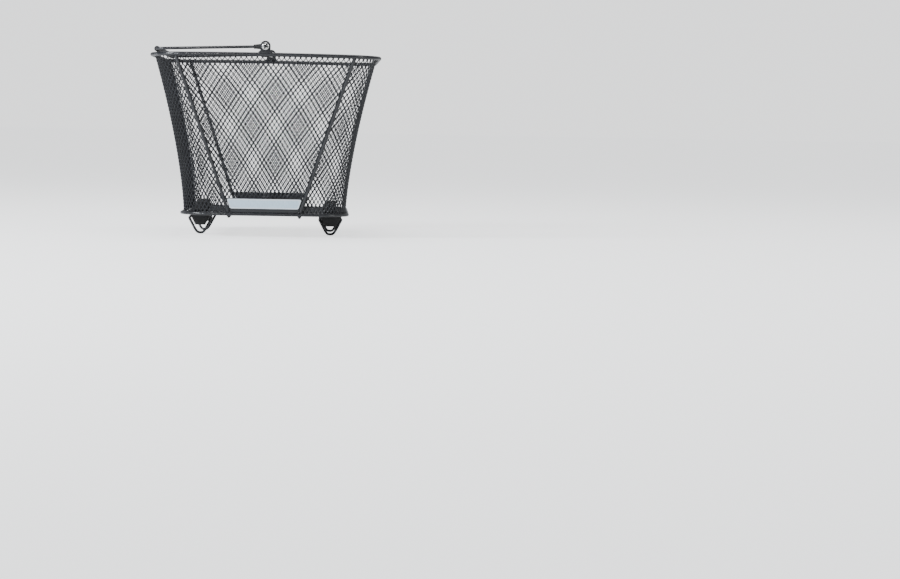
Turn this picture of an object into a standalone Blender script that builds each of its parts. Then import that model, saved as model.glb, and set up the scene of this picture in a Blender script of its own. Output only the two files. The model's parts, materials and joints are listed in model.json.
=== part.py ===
"""Bicycle rear-rack basket: expanded steel mesh, a folding carrying handle and four hooks for a rack.

Metres, +Z up. +X is the bicycle's forward direction and +Y its left side. The origin is on the ground
under the middle of the basket, which stands on the noses of its four hooks.
"""

import math

import bmesh
import bpy
from mathutils import Matrix, Vector

# ------------------------------------------------------------------ driving dimensions, in metres

GAP = 0.0003  # clearance between pieces that touch

# Rim: the closed wire round the mouth
RIM_LENGTH = 0.320  # along the bicycle, over the wire
RIM_WIDTH = 0.400  # across the bicycle, over the wire
RIM_WIRE = 0.0055
RIM_CORNER = 0.050  # bend radius of the wire's centre line
RIM_CROWN = 0.0015  # rise of the rim's middle over its ends

# Base: the closed wire round the foot of the mesh
BASE_LENGTH = 0.237
BASE_WIDTH = 0.317
BASE_WIRE = 0.0045
BASE_CORNER = 0.042

# Mesh basket
BASKET_DEPTH = 0.219  # from the base wire's centre up to the rim wire's centre
FLARE_POWER = 1.5  # 1 would make a straight wall, more keeps its foot upright
MESH_THICKNESS = 0.0015
MESH_ABOVE_RIM = 0.001  # the mesh stands this far over the rim wire's centre
SIDE_STEPS = 4
CORNER_STEPS = 6
WALL_LEVELS = 8

# Struts: wires from the rim to the base, on the two sides that face across the bicycle
STRUT_WIRE = 0.0048
STRUT_TOP_X = 0.122
STRUT_FOOT_X = 0.049

# Side plate and the reflective panel on it
PLATE_THICKNESS = 0.0012
PLATE_TOP = 0.0225  # over the base wire's centre
PANEL_THICKNESS = 0.0015
PANEL_FOOT = 0.008
PANEL_BORDER = 0.001  # plate that shows over the panel
PANEL_SIDE_BORDER = 0.0015
PANEL_CORNER = 0.003

# Floor runners: cross wires under the floor mesh
RUNNER_WIRE = 0.0045

# Handle
PIVOT_HEIGHT = 0.0110  # over the rim wire's centre at the lug
LUG_THICKNESS = 0.003
LUG_WIDTH = 0.014
LUG_FOOT_FILLET = 0.0025
LUG_FOOT_RISE = 0.001  # straight foot over the rim wire, under the fillet
LUG_HEAD_RISE = 0.0008  # its round top over the pivot
HANDLE_WIRE = 0.004
HANDLE_INSET = 0.011  # crossbar inside the rim's outer end
HANDLE_BEND = 0.012
GRIP_DIAMETER = 0.008
GRIP_END_GAP = 0.002  # sleeve end to the start of the bend
EYELET_THICKNESS = 0.006
EYELET_DIAMETER = 0.012
STEM_LENGTH = 0.016  # pivot to the stem's mouth
STEM_ROOT = 0.0084  # stem height at the pivot
STEM_MOUTH = 0.0058  # stem height at the mouth
STEM_INSET = 0.0001  # keeps the stem's flats just inside the ring's faces
SOCKET_DEPTH = 0.008

# Pivot screw, washer and nut
SCREW_DIAMETER = 0.004
SCREW_HEAD = 0.0104
SCREW_HEAD_HEIGHT = 0.0030
SCREW_HEAD_EDGE = 0.0008  # straight side of the head, under its dome
RECESS_LENGTH = 0.0058
RECESS_WIDTH = 0.0012
RECESS_DEPTH = 0.0014
RECESS_TURN = math.radians(20)
WASHER_DIAMETER = 0.009
WASHER_THICKNESS = 0.001
PIVOT_NUT_FLATS = 0.007
PIVOT_NUT_HEIGHT = 0.0032
SCREW_END = 0.0008  # thread that stands out of the nut

# Rack hooks, each at one corner of the rack
HOOK_X = 0.0925
TUBE_DIAMETER = 0.010  # the rack's side tube, which isn't part of the basket
TUBE_Y = 0.057
HOOK_WIRE = 0.0036
HOOK_AXIS_DROP = 0.007  # hinge axis under the base wire's centre
HOOK_TOP_X = 0.017  # where the leg's line meets the hinge axis, from the hook's middle
HOOK_LEG_ANGLE = math.radians(28)
HOOK_TOP_BEND = 0.0024
HOOK_NOSE = 0.0044
HOOK_STRAIGHT = 0.015  # leg length before the wire folds in under the tube
HOOK_FOLD = 0.008  # radius of that fold
HOOK_FOLD_ANGLE = math.radians(65)
HOOK_STUB = 0.0050  # hinge stub held inside the block, on each side
HOOK_SIDE_GAP = 0.0015

# Saddle block under the floor and its cap inside the basket
PAD_DEPTH = 0.012  # seat for the tube, under the base wire's centre
PAD_INNER_Y = 0.045
CHEEK_DROP = 0.019
CHEEK_OVER_AXIS = 0.004  # cheek that stands outside the hinge axis
HOOK_AXIS_OUT = 0.0040  # hinge axis outside the tube's outer side
SEAT_FILLET = 0.003
CAP_SIDE = 0.021
CAP_HEIGHT = 0.013
CAP_BEVEL = 0.0015

# Saddle bolt and nut
BOLT_DIAMETER = 0.005
BOLT_HEAD = 0.0085
BOLT_HEAD_HEIGHT = 0.0036
SOCKET_FLATS = 0.004
SOCKET_DROP = 0.002
SADDLE_NUT_FLATS = 0.008
SADDLE_NUT_HEIGHT = 0.004
RECESS_GAP = 0.0003  # head and nut below the faces that they are sunk in

# ------------------------------------------------------------------------------- derived sizes

RIM_HALF_X = (RIM_LENGTH - RIM_WIRE) / 2
RIM_HALF_Y = (RIM_WIDTH - RIM_WIRE) / 2
BASE_HALF_X = (BASE_LENGTH - BASE_WIRE) / 2
BASE_HALF_Y = (BASE_WIDTH - BASE_WIRE) / 2
MESH_IN_RIM = RIM_WIRE / 2 + GAP
MESH_IN_BASE = BASE_WIRE / 2 + GAP

HOOK_AXIS_Y = TUBE_Y + TUBE_DIAMETER / 2 + HOOK_AXIS_OUT
CHEEK_INNER_Y = TUBE_Y + TUBE_DIAMETER / 2 + GAP
BLOCK_OUTER_Y = HOOK_AXIS_Y + CHEEK_OVER_AXIS
FLOOR_UNDER = MESH_THICKNESS / 2 + GAP  # from the floor mesh's middle to what meets it
HOOK_BORE = HOOK_WIRE / 2 + GAP
BOLT_BORE = BOLT_DIAMETER / 2 + GAP

HANDLE_REACH = RIM_LENGTH / 2 - HANDLE_INSET  # pivot to crossbar
LUG_Y = RIM_HALF_Y
EYELET_Y = LUG_Y - LUG_THICKNESS / 2 - GAP - EYELET_THICKNESS / 2
SCREW_BORE = SCREW_DIAMETER / 2 + GAP


def hook_outline():
    """Half of the hook laid flat, as (x, distance below the hinge axis): stub, bend, leg and nose."""
    angle = HOOK_LEG_ANGLE
    tangent = HOOK_TOP_BEND * math.tan((math.pi / 2 + angle) / 2)
    bend_x = HOOK_TOP_X - tangent
    points = [(HOOK_STUB, 0.0)]
    for step in range(6):
        turn = -math.pi / 2 + (math.pi / 2 + angle) * step / 5
        points.append((bend_x + HOOK_TOP_BEND * math.cos(turn), HOOK_TOP_BEND * (1 + math.sin(turn))))
    nose_down = HOOK_TOP_X / math.tan(angle) - HOOK_NOSE / math.sin(angle)
    leg_end = (HOOK_NOSE * math.cos(angle), nose_down + HOOK_NOSE * math.sin(angle))
    leg_start = points[-1]
    for step in range(1, 9):
        share = step / 8
        points.append(tuple(a + (b - a) * share for a, b in zip(leg_start, leg_end)))
    for step in range(1, 4):
        turn = angle + (math.pi / 2 - angle) * step / 3
        points.append((HOOK_NOSE * math.cos(turn), nose_down + HOOK_NOSE * math.sin(turn)))
    return points


def fold_hook(x, down):
    """Fold a point of the flat hook inwards under the tube; -Y is outwards from the basket's middle."""
    if down <= HOOK_STRAIGHT:
        return Vector((x, 0.0, -down))
    turn = min((down - HOOK_STRAIGHT) / HOOK_FOLD, HOOK_FOLD_ANGLE)
    rest = down - HOOK_STRAIGHT - HOOK_FOLD * turn
    inwards = HOOK_FOLD * (1 - math.cos(turn)) + rest * math.sin(turn)
    fall = HOOK_STRAIGHT + HOOK_FOLD * math.sin(turn) + rest * math.cos(turn)
    return Vector((x, inwards, -fall))


def hook_path():
    """The whole hook's centre line about its hinge axis, from one stub round the nose to the other."""
    half = [fold_hook(x, down) for x, down in hook_outline()]
    other = [Vector((-point.x, point.y, point.z)) for point in reversed(half[:-1])]
    return half + other


HOOK_DROP = HOOK_WIRE / 2 - min(point.z for point in hook_path())
FLOOR_Z = HOOK_AXIS_DROP + HOOK_DROP  # the base wire's centre and the floor mesh's middle
RIM_Z = FLOOR_Z + BASKET_DEPTH


def rim_height(x):
    """Height of the rim wire's centre: an arch along the bicycle, level across it."""
    return RIM_Z + RIM_CROWN * (1 - (x / RIM_HALF_X) ** 2)


PIVOT_Z = rim_height(0.0) + PIVOT_HEIGHT


def wall_plan(share):
    """Half length, half width and corner radius of the mesh's outer face at a share of its height."""
    flare = share**FLARE_POWER
    foot = (BASE_HALF_X - MESH_IN_BASE, BASE_HALF_Y - MESH_IN_BASE, BASE_CORNER - MESH_IN_BASE)
    mouth = (RIM_HALF_X - MESH_IN_RIM, RIM_HALF_Y - MESH_IN_RIM, RIM_CORNER - MESH_IN_RIM)
    return tuple(low + (high - low) * flare for low, high in zip(foot, mouth))


def rounded_rectangle(half_x, half_y, radius):
    """Points counter-clockwise round a rounded rectangle, with the same count for every size."""
    arcs = []
    for sign_x, sign_y, start in ((1, 1, 0), (-1, 1, 90), (-1, -1, 180), (1, -1, 270)):
        centre = Vector((sign_x * (half_x - radius), sign_y * (half_y - radius)))
        turns = [math.radians(start + 90 * step / CORNER_STEPS) for step in range(CORNER_STEPS + 1)]
        arcs.append([centre + radius * Vector((math.cos(turn), math.sin(turn))) for turn in turns])
    points = []
    for arc, following in zip(arcs, arcs[1:] + arcs[:1]):
        points.extend(arc)
        for step in range(1, SIDE_STEPS):
            points.append(arc[-1].lerp(following[0], step / SIDE_STEPS))
    return points


def side_point(x, height):
    """Point on the mesh's outer face, on the +Y side, and its outward direction in plan."""
    share = height / BASKET_DEPTH
    half_x, half_y, radius = wall_plan(share)
    past = max(0.0, abs(x) - (half_x - radius))
    run = math.sqrt(radius**2 - past**2)
    outwards = Vector((math.copysign(past, x) / radius, run / radius, 0.0))
    level = FLOOR_Z + share * (rim_height(x) - FLOOR_Z)
    return Vector((x, half_y - radius + run, level)), outwards


# ------------------------------------------------------------------------------------ builders


def clear_scene():
    for old in list(bpy.data.objects):
        bpy.data.objects.remove(old)


def new_collection(name):
    collection = bpy.data.collections.new(name)
    bpy.context.scene.collection.children.link(collection)
    return collection


def new_material(name, colour, roughness, metallic):
    material = bpy.data.materials.new(name)
    material.use_nodes = True
    shader = material.node_tree.nodes["Principled BSDF"]
    shader.inputs["Base Color"].default_value = (*colour, 1.0)
    shader.inputs["Roughness"].default_value = roughness
    shader.inputs["Metallic"].default_value = metallic
    return material


class Kit:
    """The collections and materials that every piece is made with."""

    def __init__(self):
        clear_scene()
        self.parts = new_collection("rear_rack_basket")
        self.cutters = new_collection("cutters")
        self.black_wire = new_material("black_powder_coat", (0.020, 0.021, 0.025), 0.32, 0.0)
        self.black_mesh = new_material("black_mesh_coat", (0.028, 0.030, 0.036), 0.42, 0.0)
        self.plastic = new_material("black_plastic", (0.018, 0.018, 0.019), 0.55, 0.0)
        self.grip = new_material("black_grip", (0.016, 0.016, 0.017), 0.7, 0.0)
        self.zinc = new_material("zinc_plate", (0.72, 0.72, 0.70), 0.3, 1.0)
        self.panel = new_material("reflective_panel", (0.68, 0.76, 0.84), 0.35, 0.0)


def add(kit, name, data, material):
    """Link a new object that holds this mesh or curve to the part's collection."""
    piece = bpy.data.objects.new(name, data)
    if not data.materials:
        data.materials.append(material)
    kit.parts.objects.link(piece)
    return piece


def wire(kit, name, points, diameter, material, closed=False):
    """A round wire along a path of points."""
    curve = bpy.data.curves.new(name, "CURVE")
    curve.dimensions = "3D"
    curve.bevel_depth = diameter / 2
    curve.bevel_resolution = 2
    curve.use_fill_caps = True
    curve.twist_mode = "Z_UP" if closed else "MINIMUM"
    spline = curve.splines.new("POLY")
    spline.points.add(len(points) - 1)
    for knot, point in zip(spline.points, points):
        knot.co = (*point, 1.0)
    spline.use_cyclic_u = closed
    return add(kit, name, curve, material)


def sheet(kit, name, outlines, thickness, material):
    """A flat plate in its own XY plane; the first outline is its edge and the others are holes."""
    curve = bpy.data.curves.new(name, "CURVE")
    curve.dimensions = "2D"
    curve.fill_mode = "BOTH"
    curve.extrude = thickness / 2
    for outline in outlines:
        spline = curve.splines.new("POLY")
        spline.points.add(len(outline) - 1)
        for knot, point in zip(spline.points, outline):
            knot.co = (point[0], point[1], 0.0, 1.0)
        spline.use_cyclic_u = True
    return add(kit, name, curve, material)


def circle(radius, centre=(0.0, 0.0), steps=16):
    """Points counter-clockwise round a circle."""
    turns = [2 * math.pi * step / steps for step in range(steps)]
    return [(centre[0] + radius * math.cos(turn), centre[1] + radius * math.sin(turn)) for turn in turns]


def arc(centre, radius, start, end, steps):
    """Points along an arc between two angles in degrees, ends included."""
    turns = [math.radians(start + (end - start) * step / steps) for step in range(steps + 1)]
    return [(centre[0] + radius * math.cos(turn), centre[1] + radius * math.sin(turn)) for turn in turns]


def turned(kit, name, profile, material, steps=16, closed=False):
    """A turned piece about its own Z axis, from (radius, height) points down its outer side."""
    mesh = bpy.data.meshes.new(name)
    edges = [(index, index + 1) for index in range(len(profile) - 1)]
    if closed:
        edges.append((len(profile) - 1, 0))
    mesh.from_pydata([(radius, 0.0, height) for radius, height in profile], edges, [])
    piece = add(kit, name, mesh, material)
    screw = piece.modifiers.new("turn", "SCREW")
    screw.steps = steps
    screw.render_steps = steps
    screw.use_merge_vertices = True
    screw.merge_threshold = 0.00001
    return piece


def prism(kit, name, radius, length, material, sides=16):
    """A cylinder or, with few sides, a prism, centred on its own Z axis."""
    mesh = bpy.data.meshes.new(name)
    shape = bmesh.new()
    bmesh.ops.create_cone(
        shape, cap_ends=True, segments=sides, radius1=radius, radius2=radius, depth=length
    )
    shape.to_mesh(mesh)
    shape.free()
    return add(kit, name, mesh, material)


def block(kit, name, size, material):
    """A box centred on its own origin, with its size in its mesh."""
    mesh = bpy.data.meshes.new(name)
    shape = bmesh.new()
    bmesh.ops.create_cube(shape, size=1.0, matrix=Matrix.Diagonal((*size, 1.0)))
    shape.to_mesh(mesh)
    shape.free()
    return add(kit, name, mesh, material)


def bake(piece):
    """The piece's evaluated shape as a mesh with welded caps, placed in its parent's frame."""
    bpy.context.view_layer.update()
    graph = bpy.context.evaluated_depsgraph_get()
    mesh = bpy.data.meshes.new_from_object(piece.evaluated_get(graph))
    mesh.transform(piece.matrix_world)
    shape = bmesh.new()
    shape.from_mesh(mesh)
    bmesh.ops.remove_doubles(shape, verts=shape.verts, dist=0.000001)
    shape.to_mesh(mesh)
    shape.free()
    mesh.shade_smooth()
    mesh.set_sharp_from_angle(angle=math.radians(35))
    mesh.name = piece.name
    bpy.data.objects.remove(piece)
    return mesh


def combine(kit, piece, tool, operation):
    """Add a Boolean with a tool, which moves to the cutters; a tool that cuts is longer than the piece."""
    kit.parts.objects.unlink(tool)
    kit.cutters.objects.link(tool)
    tool.hide_render = True
    tool.display_type = "WIRE"
    modifier = piece.modifiers.new(operation.lower(), "BOOLEAN")
    modifier.operation = operation
    modifier.object = tool
    bpy.context.view_layer.update()


def bevel(piece, width):
    """Round the piece's sharp edges a little."""
    modifier = piece.modifiers.new("edges", "BEVEL")
    modifier.width = width
    modifier.segments = 1
    modifier.limit_method = "ANGLE"
    modifier.angle_limit = math.radians(50)


def turn_to(piece, axis):
    """Turn a piece made along its own Z so that it points along the axis."""
    piece.rotation_euler = Vector(axis).to_track_quat("Z", "Y").to_euler()


# ---------------------------------------------------------------------------------- the basket


def make_rim(kit):
    """The closed top wire, arched a little along the bicycle."""
    plan = rounded_rectangle(RIM_HALF_X, RIM_HALF_Y, RIM_CORNER)
    points = [(point.x, point.y, rim_height(point.x)) for point in plan]
    wire(kit, "rim_rod", points, RIM_WIRE, kit.black_wire, closed=True)


def make_base(kit):
    """The closed bottom wire, outside the foot of the mesh."""
    plan = rounded_rectangle(BASE_HALF_X, BASE_HALF_Y, BASE_CORNER)
    points = [(point.x, point.y, FLOOR_Z) for point in plan]
    wire(kit, "base_rod", points, BASE_WIRE, kit.black_wire, closed=True)


def make_wall(kit):
    """The flared wall of mesh: its outer face as a grid, made solid inwards."""
    mouth = rounded_rectangle(*wall_plan(1.0))
    foot_z = FLOOR_Z - MESH_THICKNESS / 2
    points = []
    for level in range(WALL_LEVELS + 1):
        share = level / WALL_LEVELS
        for point, top in zip(rounded_rectangle(*wall_plan(share)), mouth):
            top_z = rim_height(top.x) + MESH_ABOVE_RIM
            points.append((point.x, point.y, foot_z + (top_z - foot_z) * share))
    count = len(mouth)
    faces = []
    for level in range(WALL_LEVELS):
        for index in range(count):
            after = (index + 1) % count
            low, high = level * count, (level + 1) * count
            faces.append((low + index, low + after, high + after, high + index))
    mesh = bpy.data.meshes.new("mesh_wall")
    mesh.from_pydata(points, [], faces)
    wall = add(kit, "mesh_wall", mesh, kit.black_mesh)
    solid = wall.modifiers.new("thickness", "SOLIDIFY")
    solid.thickness = MESH_THICKNESS
    solid.offset = -1.0
    solid.use_even_offset = True


def make_floor(kit):
    """The flat floor mesh inside the wall, with a hole for each saddle bolt."""
    inset = MESH_THICKNESS + GAP
    half_x, half_y, radius = wall_plan(0.0)
    edge = rounded_rectangle(half_x - inset, half_y - inset, radius - inset)
    holes = [circle(BOLT_BORE, (x, y)) for x in (-HOOK_X, HOOK_X) for y in (-TUBE_Y, TUBE_Y)]
    floor = sheet(kit, "mesh_floor", [edge, *holes], MESH_THICKNESS, kit.black_mesh)
    floor.location.z = FLOOR_Z


def make_runners(kit):
    """Two cross wires under the floor mesh, from base wire to base wire."""
    drop = FLOOR_UNDER + RUNNER_WIRE / 2
    reach = BASE_HALF_Y - BASE_WIRE / 2 - GAP
    for name, x in (("floor_runner_front", STRUT_FOOT_X), ("floor_runner_rear", -STRUT_FOOT_X)):
        ends = [(x, -reach, FLOOR_Z - drop), (x, reach, FLOOR_Z - drop)]
        wire(kit, name, ends, RUNNER_WIRE, kit.black_wire)


def strut_x(height):
    """Distance of a strut from the middle of its side, at a height over the base wire."""
    return STRUT_FOOT_X + (STRUT_TOP_X - STRUT_FOOT_X) * height / BASKET_DEPTH


def make_struts(kit):
    """Four wires that lie on the mesh, leaning out from the base wire up to the rim."""
    lean = math.atan((STRUT_TOP_X - STRUT_FOOT_X) / BASKET_DEPTH)
    end_rise = STRUT_WIRE / 2 * math.sin(lean)
    foot = BASE_WIRE / 2 + GAP + end_rise
    top = BASKET_DEPTH - RIM_WIRE / 2 - GAP - end_rise
    levels = [BASKET_DEPTH * level / WALL_LEVELS for level in range(WALL_LEVELS + 1)]
    heights = [foot, *[height for height in levels if foot < height < top], top]
    for side, sign_y in (("right", -1), ("left", 1)):
        for end, sign_x in (("front", 1), ("rear", -1)):
            points = []
            for height in heights:
                point, outwards = side_point(sign_x * strut_x(height), height)
                point += outwards * (GAP + STRUT_WIRE / 2)
                points.append((point.x, sign_y * point.y, point.z))
            wire(kit, f"strut_{side}_{end}", points, STRUT_WIRE, kit.black_wire)


def plate_outline(foot, top, border):
    """Outline between the struts: wider at its top, with heights over the base wire's centre."""
    strut_half = STRUT_WIRE / 2 / math.cos(math.atan((STRUT_TOP_X - STRUT_FOOT_X) / BASKET_DEPTH))
    inset = strut_half + GAP + border
    low, high = strut_x(foot) - inset, strut_x(top) - inset
    return [(-low, foot), (low, foot), (high, top), (-high, top)]


def panel_outline():
    """The reflective panel's outline: the plate's, inside a border, with rounded lower corners."""
    foot, top = PANEL_FOOT, PLATE_TOP - PANEL_BORDER
    _, right, high_right, high_left = plate_outline(foot, top, PANEL_SIDE_BORDER)
    slope = math.atan2(high_right[1] - right[1], high_right[0] - right[0])
    centre = (right[0] - PANEL_CORNER * math.tan(slope / 2), foot + PANEL_CORNER)
    corner = arc(centre, PANEL_CORNER, -90, math.degrees(slope) - 90, 4)
    mirrored = [(-x, y) for x, y in reversed(corner)]
    return [*corner, high_right, high_left, *mirrored]


def make_side_plates(kit):
    """A plate between the struts at the foot of each side, and the reflective panel on it."""
    first_level = BASKET_DEPTH / WALL_LEVELS
    low, _ = side_point(0.0, 0.0)
    high, _ = side_point(0.0, first_level)
    lean = math.atan2(high.y - low.y, high.z - low.z)
    plate_foot = BASE_WIRE / 2 + GAP
    plate_out = GAP / math.cos(lean) + PLATE_THICKNESS / 2
    panel_out = plate_out + PLATE_THICKNESS / 2 + GAP + PANEL_THICKNESS / 2
    plate = plate_outline(plate_foot, PLATE_TOP, 0.0)
    shapes = (
        ("side_plate", plate, PLATE_THICKNESS, plate_out, kit.black_wire),
        ("reflector", panel_outline(), PANEL_THICKNESS, panel_out, kit.panel),
    )
    for side, turn in (("right", 0.0), ("left", math.pi)):
        for kind, outline, thickness, out, material in shapes:
            piece = sheet(kit, f"{kind}_{side}", [outline], thickness, material)
            stand = Matrix.Rotation(math.pi / 2 + lean, 4, "X")
            foot = Matrix.Translation((0.0, -low.y, FLOOR_Z))
            place = foot @ stand @ Matrix.Translation((0.0, 0.0, out))
            piece.matrix_world = Matrix.Rotation(turn, 4, "Z") @ place


# ---------------------------------------------------------------------------------- the handle


def handle_rest_angle():
    """Slope of the folded handle, whose sleeve rests on the rim's rounded corners."""
    seat = rim_height(HANDLE_REACH) + RIM_WIRE / 2 + GRIP_DIAMETER / 2 + GAP
    return math.asin((PIVOT_Z - seat) / HANDLE_REACH)


def make_lugs(kit):
    """Two lugs on the rim: round heads over a waist, flared at the foot and hollowed for the wire."""
    half = LUG_WIDTH / 2
    foot = rim_height(0.0) + RIM_WIRE / 4
    fillet = LUG_FOOT_FILLET
    seat = foot + RIM_WIRE / 4 + GAP + LUG_FOOT_RISE
    right = [(half + fillet, foot), *arc((half + fillet, seat + fillet), fillet, 270, 180, 4)]
    left = [(-x, y) for x, y in reversed(right)]
    head = (0.0, PIVOT_Z + LUG_HEAD_RISE)
    outline = [*right, *arc(head, half, 0, 180, 12), *left]
    hole = circle(SCREW_BORE, (0.0, PIVOT_Z), 12)
    for side, sign_y in (("right", -1), ("left", 1)):
        flat = sheet(kit, "lug_flat", [outline, hole], LUG_THICKNESS, kit.black_wire)
        flat.rotation_euler.x = math.pi / 2
        lug = add(kit, f"pivot_lug_{side}", bake(flat), kit.black_wire)
        lug.location.y = sign_y * LUG_Y
        saddle = prism(kit, f"lug_saddle_{side}", RIM_WIRE / 2 + GAP, LUG_WIDTH * 3, kit.black_wire)
        turn_to(saddle, (1, 0, 0))
        saddle.location = (0.0, sign_y * LUG_Y, rim_height(0.0))
        combine(kit, lug, saddle, "DIFFERENCE")


def make_pivot_screws(kit):
    """Pivot screws with a cross recess, their washers and their nuts, outside to inside."""
    grip = LUG_THICKNESS + EYELET_THICKNESS + WASHER_THICKNESS + PIVOT_NUT_HEIGHT + 4 * GAP
    shank = SCREW_DIAMETER / 2
    head = SCREW_HEAD / 2
    dome = SCREW_HEAD_HEIGHT - SCREW_HEAD_EDGE
    turns = [math.pi / 2 * step / 4 for step in range(5)]
    crown = [(head * math.sin(turn), SCREW_HEAD_EDGE + dome * math.cos(turn)) for turn in turns]
    end = -grip - SCREW_END
    profile = [*crown, (head, 0.0), (shank, 0.0), (shank, end), (0.0, end)]
    head_y = LUG_Y + LUG_THICKNESS / 2 + GAP
    washer_y = EYELET_Y - EYELET_THICKNESS / 2 - GAP - WASHER_THICKNESS / 2
    nut_y = washer_y - WASHER_THICKNESS / 2 - GAP - PIVOT_NUT_HEIGHT / 2
    for side_name, sign_y in (("right", -1), ("left", 1)):
        screw = turned(kit, f"pivot_screw_{side_name}", profile, kit.zinc)
        turn_to(screw, (0, sign_y, 0))
        screw.location = (0.0, sign_y * head_y, PIVOT_Z)
        for arm, size in (("a", (RECESS_LENGTH, RECESS_WIDTH)), ("b", (RECESS_WIDTH, RECESS_LENGTH))):
            slot = block(kit, f"recess_{arm}_{side_name}", (size[0], 2 * RECESS_DEPTH, size[1]), kit.zinc)
            slot.location = (0.0, sign_y * (head_y + SCREW_HEAD_HEIGHT), PIVOT_Z)
            slot.rotation_euler.y = RECESS_TURN
            combine(kit, screw, slot, "DIFFERENCE")
        ring = [
            (WASHER_DIAMETER / 2, WASHER_THICKNESS / 2),
            (WASHER_DIAMETER / 2, -WASHER_THICKNESS / 2),
            (SCREW_BORE, -WASHER_THICKNESS / 2),
            (SCREW_BORE, WASHER_THICKNESS / 2),
        ]
        washer = turned(kit, f"pivot_washer_{side_name}", ring, kit.zinc, closed=True)
        turn_to(washer, (0, sign_y, 0))
        washer.location = (0.0, sign_y * washer_y, PIVOT_Z)
        shape = nut_mesh(kit, PIVOT_NUT_FLATS, PIVOT_NUT_HEIGHT, SCREW_BORE)
        nut = add(kit, f"pivot_nut_{side_name}", shape, kit.zinc)
        turn_to(nut, (0, sign_y, 0))
        nut.location = (0.0, sign_y * nut_y, PIVOT_Z)


def nut_mesh(kit, flats, height, bore):
    """A hexagon nut's mesh, centred on its own Z axis."""
    nut = prism(kit, "nut", flats / math.sqrt(3), height, kit.zinc, sides=6)
    hole = prism(kit, "nut_hole", bore, height * 2, kit.zinc, sides=12)
    combine(kit, nut, hole, "DIFFERENCE")
    mesh = bake(nut)
    bpy.data.objects.remove(hole)
    return mesh


def eyelet_mesh(kit):
    """A handle end fitting about the pivot: a thick ring, and a stem towards -X with a wire socket."""
    ring = prism(kit, "eyelet", EYELET_DIAMETER / 2, EYELET_THICKNESS, kit.plastic, sides=20)
    turn_to(ring, (0, 1, 0))
    stem_data = bpy.data.meshes.new("stem")
    shape = bmesh.new()
    bmesh.ops.create_cone(
        shape, cap_ends=True, segments=16, radius1=STEM_ROOT / 2, radius2=STEM_MOUTH / 2, depth=STEM_LENGTH
    )
    shape.to_mesh(stem_data)
    shape.free()
    stem = add(kit, "stem", stem_data, kit.plastic)
    turn_to(stem, (-1, 0, 0))
    stem.location.x = -STEM_LENGTH / 2
    slab_size = (3 * STEM_LENGTH, EYELET_THICKNESS - 2 * STEM_INSET, 2 * STEM_ROOT)
    slab = block(kit, "slab", slab_size, kit.plastic)
    combine(kit, stem, slab, "INTERSECT")
    combine(kit, ring, stem, "UNION")
    bore = prism(kit, "bore", SCREW_BORE, 2 * EYELET_THICKNESS, kit.plastic, sides=12)
    turn_to(bore, (0, 1, 0))
    combine(kit, ring, bore, "DIFFERENCE")
    socket = prism(kit, "socket", HANDLE_WIRE / 2 + GAP, 2 * SOCKET_DEPTH, kit.plastic, sides=12)
    turn_to(socket, (1, 0, 0))
    socket.location.x = -STEM_LENGTH
    combine(kit, ring, socket, "DIFFERENCE")
    mesh = bake(ring)
    for tool in (stem, slab, bore, socket):
        bpy.data.objects.remove(tool)
    return mesh


def handle_path():
    """The bail's centre line about its pivot: right arm, crossbar and left arm, folded towards -X."""
    start = -(STEM_LENGTH - SOCKET_DEPTH + GAP)
    centre = (-(HANDLE_REACH - HANDLE_BEND), EYELET_Y - HANDLE_BEND)
    corner = arc(centre, HANDLE_BEND, 90, 180, 6)
    left = [(start, EYELET_Y), *corner]
    right = [(x, -y) for x, y in reversed(left)]
    return [(x, y, 0.0) for x, y in [*left, *right]]


def make_handle(kit):
    """The folding handle: end fittings, wire bail and sleeve, all turning about the pivot axis."""
    pivot = bpy.data.objects.new("handle_axis", None)
    kit.parts.objects.link(pivot)
    pivot.location.z = PIVOT_Z
    pivot.rotation_euler.y = -handle_rest_angle()
    fitting = eyelet_mesh(kit)
    eyelets = [add(kit, f"handle_eyelet_{side}", fitting, kit.plastic) for side in ("right", "left")]
    eyelets[0].location.y = -EYELET_Y
    eyelets[1].location.y = EYELET_Y
    bail = wire(kit, "handle_bail", handle_path(), HANDLE_WIRE, kit.black_wire)
    half = EYELET_Y - HANDLE_BEND - GRIP_END_GAP
    inner = HANDLE_WIRE / 2 + GAP
    tube = [(GRIP_DIAMETER / 2, half), (GRIP_DIAMETER / 2, -half), (inner, -half), (inner, half)]
    sleeve = turned(kit, "grip_sleeve", tube, kit.grip, closed=True)
    turn_to(sleeve, (0, 1, 0))
    sleeve.location.x = -HANDLE_REACH
    for piece in (*eyelets, bail, sleeve):
        piece.parent = pivot


# ----------------------------------------------------------------------------------- the hooks


def block_half_x(down):
    """Half width of the saddle block at a distance below the hinge axis, inside the hook's legs."""
    leg = HOOK_TOP_X - down * math.tan(HOOK_LEG_ANGLE)
    return leg - (HOOK_WIRE / 2 + HOOK_SIDE_GAP) / math.cos(HOOK_LEG_ANGLE)


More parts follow.
